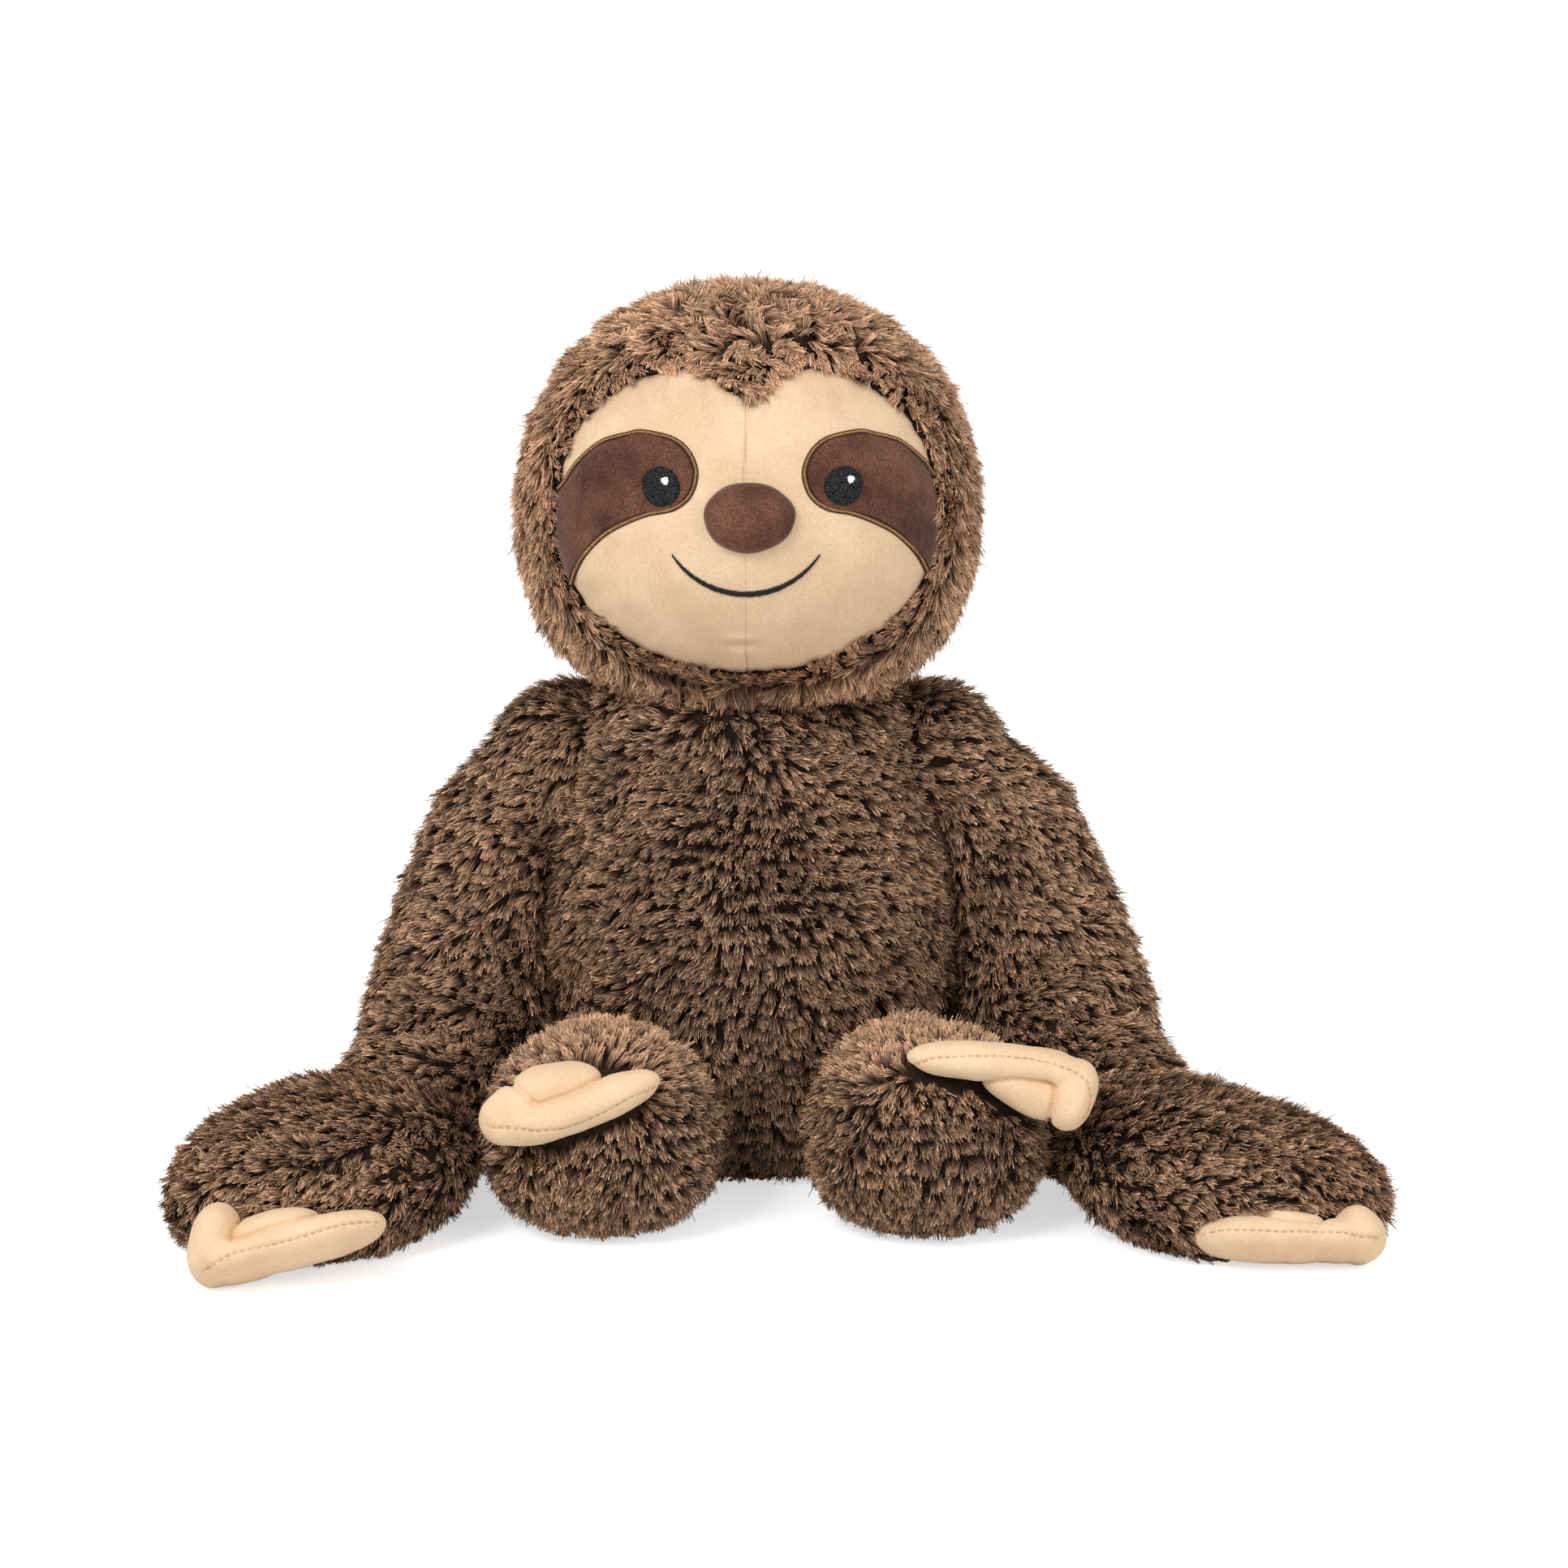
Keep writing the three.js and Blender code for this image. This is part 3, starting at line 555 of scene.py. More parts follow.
def edge_reach(angle):
    """How far the face reaches from its middle at an angle."""
    x, z = face_edge(np.linspace(0, 2 * math.pi, 4000, endpoint=False))
    return np.interp(angle, np.arctan2(z, x), np.hypot(x, z), period=2 * math.pi)


def edge_gap(x, z):
    """How far inside the face's edge places lie, or outside it below nought."""
    return edge_reach(np.arctan2(z, x)) - np.hypot(x, z)


def on_rays(ring, angle, reach=1, middle=(0, 0)):
    """Places at shares of a reach from a middle, ring after ring."""
    x, z = (np.outer(ring, reach * part).ravel() for part in (np.cos(angle), np.sin(angle)))
    return middle[0] + x, middle[1] + z


def roll(inside):
    """How far the face's cloth has rolled back at a distance inside its edge."""
    return FACE_ROLL * np.exp(-inside / 2.6)


def make_face_panel(side, word):
    """Half of the face, from the middle seam to its edge, which rolls back under the fur."""
    columns, rings = 340, 130
    share = np.linspace(0, 1, columns)
    angle = math.pi / 2 - side * math.pi * (share - 0.085 * np.sin(2 * math.pi * share))
    reach = edge_reach(angle)
    ring = np.linspace(0.004, 1, rings) ** 0.9
    x, z = on_rays(ring, angle, reach)
    inside = np.outer(1 - ring, reach).ravel()
    around = np.tile(angle, rings)
    gather = 0.3 * (np.sin(19 * around + 1) + np.sin(31 * around + 2) + 0.7 * np.sin(47 * around))
    points, _ = face_point(x, z, gather * np.exp(-inside / 6) - roll(inside))
    last = points[-columns:]
    out = np.stack([np.cos(angle), 0 * angle, np.sin(angle)], 1)
    hems = [last + (out * beyond + (0, back, 0)) * MM for beyond, back in FACE_HEMS]
    points = np.concatenate([points, *hems])
    points[:, 0] += side * 0.04 * MM
    faces = grid_faces(rings + 2, columns, False)
    if side < 0:
        faces = [face[::-1] for face in faces]
    name, node = f"{word}_face_cushion", f"{word}_face_panel"
    face_piece(name, points, faces, face_minky, 1.3, node)


def places_along(points, spaced):
    """Places along a line through points, at the distances that spaced gives for its length."""
    length = np.concatenate([[0], np.cumsum(np.linalg.norm(np.diff(points, axis=0), axis=1))])
    wanted = spaced(length[-1])
    return np.stack([np.interp(wanted, length, column) for column in points.T], 1)


def closed_curve(points, count):
    """A smooth closed line through points, as count places spaced evenly."""
    points = np.array(points, float)
    before, after, further = (np.roll(points, shift, 0) for shift in (1, -1, -2))
    t = np.linspace(0, 1, 24, endpoint=False)[:, None, None]
    dense = 0.5 * (
        2 * points
        + (after - before) * t
        + (2 * before - 5 * points + 4 * after - further) * t**2
        + (3 * points - before - 3 * after + further) * t**3
    )
    dense = dense.transpose(1, 0, 2).reshape(-1, 2)
    dense = np.concatenate([dense, dense[:1]])
    return places_along(dense, lambda length: np.linspace(0, length, count, endpoint=False))


def patch_edge(side, count):
    outline = closed_curve(PATCH_OUTLINE, count)
    return outline * (side, 1) + (PATCH_SHIFT, 0)


def make_patch(side, word):
    """The patch round an eye: a raised panel whose edge turns down to its stitches."""
    middle = (side * PATCH_MIDDLE[0], PATCH_MIDDLE[1])
    columns, rings = 480, 70
    edge = patch_edge(side, 1200) - middle
    angle = np.mod(np.arctan2(edge[:, 1], edge[:, 0]), 2 * math.pi)
    order = np.argsort(angle)
    turn = np.linspace(0, 2 * math.pi, columns, endpoint=False)
    reach = np.interp(turn, angle[order], np.hypot(*edge.T)[order], period=2 * math.pi)
    # Where the patch would pass the face's edge it ends there, and its hem goes under the fur.
    ray = np.linspace(0, 1, 400)
    within = edge_gap(*on_rays(ray, turn, reach, middle)).reshape(len(ray), columns) > 0
    share = (ray[:, None] * within).max(0)
    reach = reach * share
    ring = np.linspace(0.01, 1, rings) ** 0.8
    x, z = on_rays(ring, turn, reach, middle)
    inside = np.outer(1 - ring, reach).ravel()
    lift = 1.1 - 1.4 * np.exp(-((inside / 0.55) ** 1.5)) - 0.55 * bell(inside - 1.1, 0.35)
    height = lift - roll(np.maximum(edge_gap(x, z), 0)) + 0.25 * face_noise(x, z, 15, 41)
    points, _ = face_point(x, z, height)
    last = points[-columns:]
    out = unit(last - (0, 0, FACE_CENTRE * MM)) * (1, 0, 1)
    hidden = share[:, None] < 0.999
    hems = [
        last + np.where(hidden, out * beyond + (0, back, 0), (0, shown, 0)) * MM
        for beyond, back, shown in PATCH_HEMS
    ]
    points = np.concatenate([points, *hems])
    faces = [face[::-1] for face in grid_faces(rings + 2, columns, True)]
    faces.append(tuple(range(columns)))
    node = f"{word}_eye_patch"
    face_piece(node + "_cloth", points, faces, brown_minky, 1.0, node)


def stitches(name, places, along, out, length, width, height, material):
    """Short rounded stitches, each along its own direction and standing out from the surface."""
    sections = np.array([-0.5, -0.36, 0.0, 0.36, 0.5])[:, None, None]
    swell = np.array([0.25, 0.85, 1.0, 0.85, 0.25])[:, None, None]
    angles = np.linspace(0, 2 * math.pi, 6, endpoint=False)[:, None]
    across = unit(np.cross(out, along))
    places, along, out, across = (values[:, None, None] for values in (places, along, out, across))
    centre = places + along * sections * length[:, None, None, None]
    ring = across * np.cos(angles) * width / 2 + out * np.sin(angles) * height
    points = (centre + ring * swell).reshape(-1, 3)
    pattern = grid_faces(5, 6, True) + [(5, 4, 3, 2, 1, 0), (24, 25, 26, 27, 28, 29)]
    faces = [tuple(30 * i + v for v in face) for i in range(len(places)) for face in pattern]
    return mesh_object(name, points, faces, material)


def jitter(count, amount):
    return rng.uniform(-amount, amount, count)


# Rows of stitches, in millimetres: how far inside the patch's edge, length, height, lean, thread
EDGING_ROWS = [
    (-0.4, 0.65, 0.2, 0.4, dark_thread),
    (0.3, 0.9, 0.6, -0.5, gold_thread),
    (1.05, 0.7, 0.75, 0.4, dark_thread),
]


def make_edging(side, word):
    """Three rows of stitches along the patch's edge, a pale one between two dark ones."""
    outline = patch_edge(side, 420)
    forward = unit(np.roll(outline, -1, 0) - np.roll(outline, 1, 0))
    normal = np.stack([-forward[:, 1], forward[:, 0]], 1) * side
    parts = []
    for inset, length, height, lean, material in EDGING_ROWS:
        line = outline + normal * inset
        clear = edge_gap(*line.T) > EDGING_CLEARANCE
        line, ahead, inward = line[clear], forward[clear], normal[clear]
        points, out = face_point(*line.T, height)
        ends, _ = face_point(*(line + (inward + ahead * lean) * 0.5).T, height)
        along = unit(ends - points)
        size = length * MM * (1 + jitter(len(line), 0.12))
        points = points + out * (jitter(len(line), 0.08) * MM)[:, None]
        name = f"{word}_edging_{len(parts)}"
        parts.append(stitches(name, points, along, out, size, 0.5 * MM, 0.36 * MM, material))
    edging = joined(f"{word}_patch_edging_stitches", parts)
    declare(edging, "head", f"{word}_patch_edging")


def disc_grid(radius, rings, columns, first=0.01):
    """Places in a disc, ring after ring, from a small first ring, with their angles and faces."""
    ring = np.linspace(first, 1, rings)
    x, z = on_rays(ring, np.linspace(0, 2 * math.pi, columns, endpoint=False), radius)
    faces = [face[::-1] for face in grid_faces(rings, columns, True)]
    faces.append(tuple(range(columns)))
    return x, z, np.arctan2(z, x), np.repeat(ring, columns), faces


def make_eye(side, word):
    """A domed disc of dense black stitches, and a ragged white glint."""
    x, z, turn, ring, faces = disc_grid(EYE_RADIUS, 60, 180)
    ragged = 1 + 0.018 * np.sin(turn * 37 + side) + 0.02 * np.sin(turn * 61)
    x, z = x * ragged + side * EYE_OUT + EYE_SHIFT, z * ragged + EYE_UP
    threads = 0.12 * face_noise(x, 0.35 * z, 0.9, 51, 10) + 0.07 * face_noise(x, z, 0.7, 53, 8)
    height = 1.5 + 1.5 * np.sqrt(np.maximum(1 - ring**2.2, 0)) + threads - 0.9 * (ring > 0.99)
    points, _ = face_point(x, z, height)
    name = f"{word}_eye"
    face_piece(name + "_stitches", points, faces, eye_thread, 0.8, name)

    x, z, turn, ring, faces = disc_grid(GLINT_RADIUS, 16, 60)
    ragged = 1 + 0.1 * np.sin(turn * 3 + side) + 0.07 * np.sin(turn * 7 + 2)
    x, z = x * ragged + side * EYE_OUT + EYE_SHIFT + GLINT_OUT, z * ragged + EYE_UP + GLINT_UP
    height = 2.95 + 0.35 * np.sqrt(np.maximum(1 - ring**2, 0)) + 0.05 * np.sin(x * 14)
    points, _ = face_point(x, z, height)
    name = f"{word}_eye_glint"
    face_piece(name + "_stitches", points, faces, white_thread, 0.5, name)


def make_nose():
    """A stuffed oval, drawn in where it's sewn to the face."""
    x, z, turn, ring, faces = disc_grid(1, 110, 300, 0.005)
    swell = 1 + 0.012 * np.sin(3 * turn + 1) + 0.008 * np.sin(7 * turn)
    x, z = x * swell * NOSE_HALF_WIDTH + NOSE_SHIFT, z * swell * NOSE_HALF_HEIGHT + NOSE_UP
    height = NOSE_HEIGHT * np.maximum(1 - ring**2.6, 0) ** 0.55
    height += 0.25 * face_noise(x, z, 12, 61) * (1 - ring**4)
    points, _ = face_point(x, z, height, 0)
    nose = face_piece("nose_pad", points, faces, brown_minky, 0.8, "nose")


def make_mouth():
    """Satin stitches across an arc, longest in its middle."""
    radius = (MOUTH_HALF_WIDTH**2 + MOUTH_SAG**2) / (2 * MOUTH_SAG)
    count = 300
    share = np.linspace(-1, 1, count)
    angle = share * math.asin(MOUTH_HALF_WIDTH / radius)
    centre = -MOUTH_CORNER_DROP - MOUTH_SAG + radius
    x, z = np.sin(angle) * radius, centre - np.cos(angle) * radius
    points, out = face_point(x, z, MOUTH_HEIGHT)
    radial, _ = face_point(x + np.sin(angle) * 0.5, z - np.cos(angle) * 0.5, MOUTH_HEIGHT)
    along = unit(unit(radial - points) + 0.35 * unit(np.gradient(points, axis=0)))
    thread = (0.6 + 1.8 * (1 - np.abs(share) ** 2.2)) * (1 + jitter(count, 0.26)) * MM
    points = points + along * (jitter(count, 0.13) * MM)[:, None]
    shape = points, along, out, thread, 0.3 * MM, 0.38 * MM
    mouth = stitches("mouth_satin_stitches", *shape, black_thread)
    declare(mouth, "head", "mouth_stitching")


def make_face():
    for side, word in SIDES:
        for make in (make_face_panel, make_patch, make_edging, make_eye):
            make(side, word)
    make_nose()
    make_mouth()


# Claws: lobes joined into one stuffed piece, with a sewn seam sunk round its edge


def lobe_matrix(row, depth):
    across, up, forward, long, wide, tilt = row
    size = Matrix.Diagonal((long * CLAW_HALF_WIDTH, depth, wide * CLAW_HALF_WIDTH, 1))
    turn = Matrix.Rotation(math.radians(-tilt), 4, "Y")
    move = Matrix.Translation(Vector((across, -forward, up)) * CLAW_HALF_WIDTH)
    return move @ turn @ size


def lobe_swell(along):
    """How much wider than a ball's the blunt shape of a finger is, at a share along it."""
    blunt = np.minimum(np.abs(along), 0.999)
    return np.sqrt((1 - blunt**CLAW_BLUNTNESS) / (1 - blunt**2))


def claw_lobe(row, depth):
    """One finger as a blunt smooth form in the claw's own frame, in metres."""
    shape = bmesh.new()
    bmesh.ops.create_uvsphere(shape, u_segments=64, v_segments=40, radius=1)
    for vert in shape.verts:
        swell = lobe_swell(vert.co.x)
        vert.co.y *= swell
        vert.co.z *= swell
    bmesh.ops.transform(shape, matrix=lobe_matrix(row, depth), verts=shape.verts)
    mesh = bpy.data.meshes.new("lobe")
    shape.to_mesh(mesh)
    shape.free()
    return mesh


def lobe_reach(points, pose, row, depth):
    """How far each point is from a finger's middle, as a share of the finger's own reach there."""
    inverse = np.array((pose @ lobe_matrix(row, depth)).inverted())
    x, y, z = (points @ inverse[:3, :3].T + inverse[:3, 3]).T
    swell = lobe_swell(x)
    return np.sqrt(x**2 + (y / swell) ** 2 + (z / swell) ** 2)


def meetings(points, pose, lobes, depth):
    """How near points are to the line round the finger behind, and to the others' join, 0 to 1."""
    behind, *front = (lobe_reach(points, pose, row, depth) for row in lobes)
    first, second = np.sort(front, axis=0)[:2]
    crease = bell(behind - first, 0.06) * bell(behind - 1, 0.12)
    join = bell(second - first, 0.3) * bell(first - 1, 0.3) * ease(behind - first, 0.05, 0.25)
    return crease, join


def soften(obj, weights, times):
    """Smooths a mesh where the weights of its points say."""
    group = obj.vertex_groups.new(name="soften")
    for i in np.flatnonzero(weights > 0.02):
        group.add([int(i)], float(weights[i]), "REPLACE")
    modify(obj, "SMOOTH", iterations=times, factor=SMOOTH_FACTOR, vertex_group=group.name)
    apply(obj)
    obj.vertex_groups.clear()


def polyline(points, step):
    """Places every step along a line through points, smoothed at its corners."""
    points = np.array(points, float)
    line = places_along(points, lambda length: np.linspace(0, length, max(int(length / step), 2)))
    for _ in range(max(len(line) // 30, 2)):
        line[1:-1] = 0.25 * line[:-2] + 0.5 * line[1:-1] + 0.25 * line[2:]
    return line


def make_claws(side, word, limb, paw):
    """The sewn fingers of one paw, cut off at the floor, with their seam and its stitches."""
    name, body, depth = f"{word}_{paw}_claws", f"{word}_{limb}", CLAW_DEPTH[paw]
    (out, forward, height), lobes, seam = CLAWS[f"{word}_{paw}"]
    place = Vector((side * out, -forward, height)) * MM
    pose = Matrix.Translation(place) @ Matrix.Rotation(-CLAW_LEAN[paw], 4, "X")
    meshes = [claw_lobe(row, depth) for row in lobes]
    claw = joined(name + "_sewn", [link("lobe", mesh) for mesh in meshes])
    claw.data.transform(pose)
    if paw == "hand":
        drop = Matrix.Translation((0, 0, -FLOOR_CUT - arrays(claw.data)[0][:, 2].min()))
        claw.data.transform(drop)
        pose = drop @ pose
    remesh(claw, CLAW_VOXEL, CLAW_SMOOTHING)
    soften(claw, meetings(arrays(claw.data)[0], pose, lobes, depth)[1], JOIN_SMOOTHING)
    points, normals = arrays(claw.data)
    polygons = [tuple(p.vertices) for p in claw.data.polygons]
    search = BVHTree.FromPolygons([Vector(p) for p in points], polygons)

    front = (pose.to_3x3() @ Vector((0, 1, 0))).normalized()
    line, outs = [], []
    for across, up in polyline(seam, SEAM_STEP * MM / CLAW_HALF_WIDTH):
        start = pose @ (Vector((across, -4, up)) * CLAW_HALF_WIDTH)
        hit, normal, _, _ = search.ray_cast(start, front)
        if hit is not None:
            line.append(hit)
            outs.append(normal)
    line, outs = np.array(line), np.array(outs)

    tree = KDTree(len(line))
    for i, point in enumerate(line):
        tree.insert(point, i)
    tree.balance()
    index, far = np.array([tree.find(point)[1:] for point in points]).T
    far = far / MM
    groove = 0.45 * bell(far, 0.45) + 0.35 * bell(far, 2.0)
    pinch = 0.16 * np.sin(index * SEAM_STEP / SEAM_PITCH * 2 * math.pi) * bell(far - 0.9, 0.8)
    uneven = 0.25 * wave_noise(points / MM, 14, 71) + 0.08 * wave_noise(points / MM, 5, 73)
    fold = 1.2 * meetings(points, pose, lobes, depth)[0]
    points = points - normals * (groove + fold - pinch - uneven)[:, None] * MM
    points[:, 2] = np.maximum(points[:, 2], CLAW_FLOOR)
    move(claw.data, points)
    claw.data.update()
    cover(claw.data, beige_minky)
    declare(claw, body, name)

    along, out = unit(np.gradient(line, axis=0))[SEAM_STITCHES], outs[SEAM_STITCHES]
    every = line[SEAM_STITCHES] - out * 0.5 * MM
    length = 1.9 * MM * (1 + jitter(len(every), 0.3))
    shape = every, along, out, length, 0.4 * MM, 0.25 * MM
    thread = stitches(name + "_seam_stitches", *shape, seam_thread)
    declare(thread, body, name)
    return claw


def make_all_claws():
    """Returns each limb's claws, for its fur to keep clear of."""
    paws = [(*side, *paw) for side in SIDES for paw in (("leg", "foot"), ("arm", "hand"))]
    return {f"{word}_{limb}": make_claws(side, word, limb, paw) for side, word, limb, paw in paws}


# Smooth stuffed forms


def smooth_form(node):
    """A smooth closed form over a node of stuffing, out to the middle of the skin."""
    form = link("form", frame["nodes"][node].data.copy())
    remesh(form, FORM_VOXEL, FORM_SMOOTHING)
    points, normals = arrays(form.data)
    points = points + normals * FORM_GROW
    points[:, 2] = np.maximum(points[:, 2], FORM_FLOOR)
    move(form.data, points)
    form.data.update()
    return form


def tree_of(nodes):
    """One search tree over several CAD nodes, and the node that owns each of its faces."""
    points, faces, owners = [], [], []
    for node in nodes:
        mesh = frame["nodes"][node].data
        start = len(points)
        points += [v.co.copy() for v in mesh.vertices]
        faces += [[start + i for i in polygon.vertices] for polygon in mesh.polygons]
        owners += [node] * len(mesh.polygons)
    return BVHTree.FromPolygons(points, faces), owners


def owners_at(places, tree, reach):
    """The node nearest to each place, or an empty name where none is within reach."""
    search, owners = tree
    nearest = (search.find_nearest(place) for place in places)
    return np.array([owners[index] if far < reach else "" for _, _, index, far in nearest])


# Fur


def scatter(form, spacing):
    """Places spread evenly over a form, with the smooth normal at each."""
    mesh = form.data
    mesh.calc_loop_triangles()
    triangles = read(mesh.loop_triangles, "vertices", np.int32)
    points, normals = arrays(mesh)
    a, b, c = (points[triangles[:, i]] for i in range(3))
    areas = np.linalg.norm(np.cross(b - a, c - a), axis=1) / 2
    count = int(areas.sum() / spacing**2 * TUFT_TRIES)
    chosen = rng.choice(len(triangles), count, p=areas / areas.sum())
    u, v = rng.random(count), rng.random(count)
    flip = u + v > 1
    u[flip], v[flip] = 1 - u[flip], 1 - v[flip]
    weights = np.stack([1 - u - v, u, v], 1)[:, :, None]
    places = (points[triangles[chosen]] * weights).sum(1)
    ups = unit((normals[triangles[chosen]] * weights).sum(1))
    # A place is kept where no kept one is too near, in its own cell of a grid or in those round it.
    cells, kept = {}, []
    around = list(itertools.product((-1, 0, 1), repeat=3))
    least = (spacing * TUFT_LEAST_GAP) ** 2
    for i, (x, y, z) in enumerate(np.floor(places / spacing).astype(int).tolist()):
        near = (j for a, b, c in around for j in cells.get((x + a, y + b, z + c), ()))
        gaps = (places[i] - places[j] for j in near)
        if all(gap @ gap >= least for gap in gaps):
            cells.setdefault((x, y, z), []).append(i)
            kept.append(i)
    return places[kept], ups[kept]


# Each comb gives every place the way its tuft leans, how far it stands up, how long and how pale it
# is, how far up its strands' colour starts, and how strongly it's gathered into rows. Much of the
# paleness and of the colour's start is painted light and shade, which differs from body to body.


def comb_head(places):
    """From a whorl over the forehead: down at the sides and back, forward beside the face."""
    out = places - (0, 0, FACE_CENTRE * MM)
    out[:, 1] *= 0.35
    flow = unit(out) + (0, 0, -0.45)
    back = ease(places[:, 1:2] / MM, 0, 40)
    down_back = (0, 0, -1.0) + (0, 1.0, 0) * ease(out[:, 2:3] / MM, 0, 60)
    flow = flow * (1 - back) + down_back * back
    from_whorl = places - WHORL
    far = np.linalg.norm(from_whorl, axis=1)
    top = np.exp(-((far / WHORL_REACH) ** 2))[:, None]
    near = np.exp(-((far / WHORL_HEART) ** 2))[:, None]
    swirl = np.stack([*(wave_noise(places, 14 * MM, seed) for seed in (81, 83)), 0 * far], 1)
    flow = flow * (1 - top) + unit(from_whorl) * top * (1 - near) * 0.8
    flow = flow + swirl * top * (1.2 + 1.2 * near)
    flow[:, 2] -= 0.35 * near[:, 0]

    outside = np.maximum(-edge_gap(*on_face(places)), 0)
    beside = np.exp(-((outside / FRINGE) ** 2)) * (places[:, 1] < -0.01) * 0.6
    flow = flow * (1 - beside)[:, None] + (0, -1.5, -0.15) * beside[:, None]
    lift = 0.48 - 0.08 * beside - 0.1 * near[:, 0]
    jowl = ease(FACE_CENTRE - 20 - places[:, 2] / MM, 0, 25)
    pile = HEAD_PILE * (1 - 0.1 * beside + 0.25 * jowl)
    # Painted light and shade: the head's fur paler all over and a little more so round the whorl,
    # darker low on the sides of the head, and its roots paler beside the face, painting out the
    # shade there.
    tone = 0.14 - 0.07 * jowl + 0.03 * top[:, 0]
    return flow, lift, pile, tone, 0.42 - 0.06 * jowl + 0.28 * beside, 0.3


def comb_torso(places):
    """Out to the sides, nearly upright at the middle, and hanging in rows low on the belly."""
    wander = 14 * MM * wave_noise(places, 55 * MM, 91)
    side = np.tanh((places[:, 0] + wander) / 0.035)[:, None] * (1.0, 0, 0)
    height = places[:, 2]
    low = np.clip((0.11 - height) / 0.07, 0, 1)
    hang = low[:, None]
    flow = side * (1 - 0.8 * hang) + (0, 0, -1.0) * (0.45 + 0.9 * hang)
    middle = np.exp(-(((height - 0.13) / 0.035) ** 2) - ((places[:, 0] - 0.01) / 0.05) ** 2)
    seam = bell(places[:, 0] / MM - BELLY_SEAM, 2.5) * low
    lift = 0.58 + 0.3 * middle - 0.06 * low
    pile = TORSO_PILE * (1 - 0.1 * low - 0.3 * seam)
    # Painted shade: the torso's fur darker all over. Also a little paler low on the belly, and
    # darker along the belly seam.
    return flow, lift, pile, 0.04 * low - 0.25 * seam - 0.23, 0.0, 1 + 0.4 * low


def comb_arm(side, places):
    """Down the sleeve, and out over the hand."""
    hand = np.clip((0.07 - places[:, 2]) / 0.04, 0, 1)
    flow = (side * 0.8, -0.15, -0.6) * (1 - hand)[:, None]
    flow = flow + (side * 0.75, -0.65, -0.3) * hand[:, None]
    lift, pile = 0.55 + 0.05 * hand, ARM_PILE * (1 - 0.12 * hand)
    # Painted light and shade: the sleeve's fur a little darker, the hand's paler, from its roots
    # up.
    return flow, lift, pile, 0.07 * hand - 0.1, 0.08 + 0.12 * hand, 1


def comb_leg(body, places):
    """Down over the sole, outwards from it round the foot, and back over the foot's top."""
    centre = np.array([FOOT_OUT[body], 0, FOOT_UP]) * MM
    out = (places - centre) * (1, 0, 1)
    rim = ease(np.linalg.norm(out, axis=1) / MM, 20, 42)[:, None]
    crown = ease(places[:, 2] / MM, 48, 72)
    flow = unit(out) * rim + (0, -0.35, -0.75) * (1 - 0.75 * rim)
    flow = flow + (0, 1.0, 0) * crown[:, None]
    # Painted light: the fur over the top of the foot paler, from its roots up; the rest of the
    # leg's fur a little darker.
    return flow, 0.6, LEG_PILE, 0.33 * crown - 0.2, 0.04 + 0.3 * crown, 1


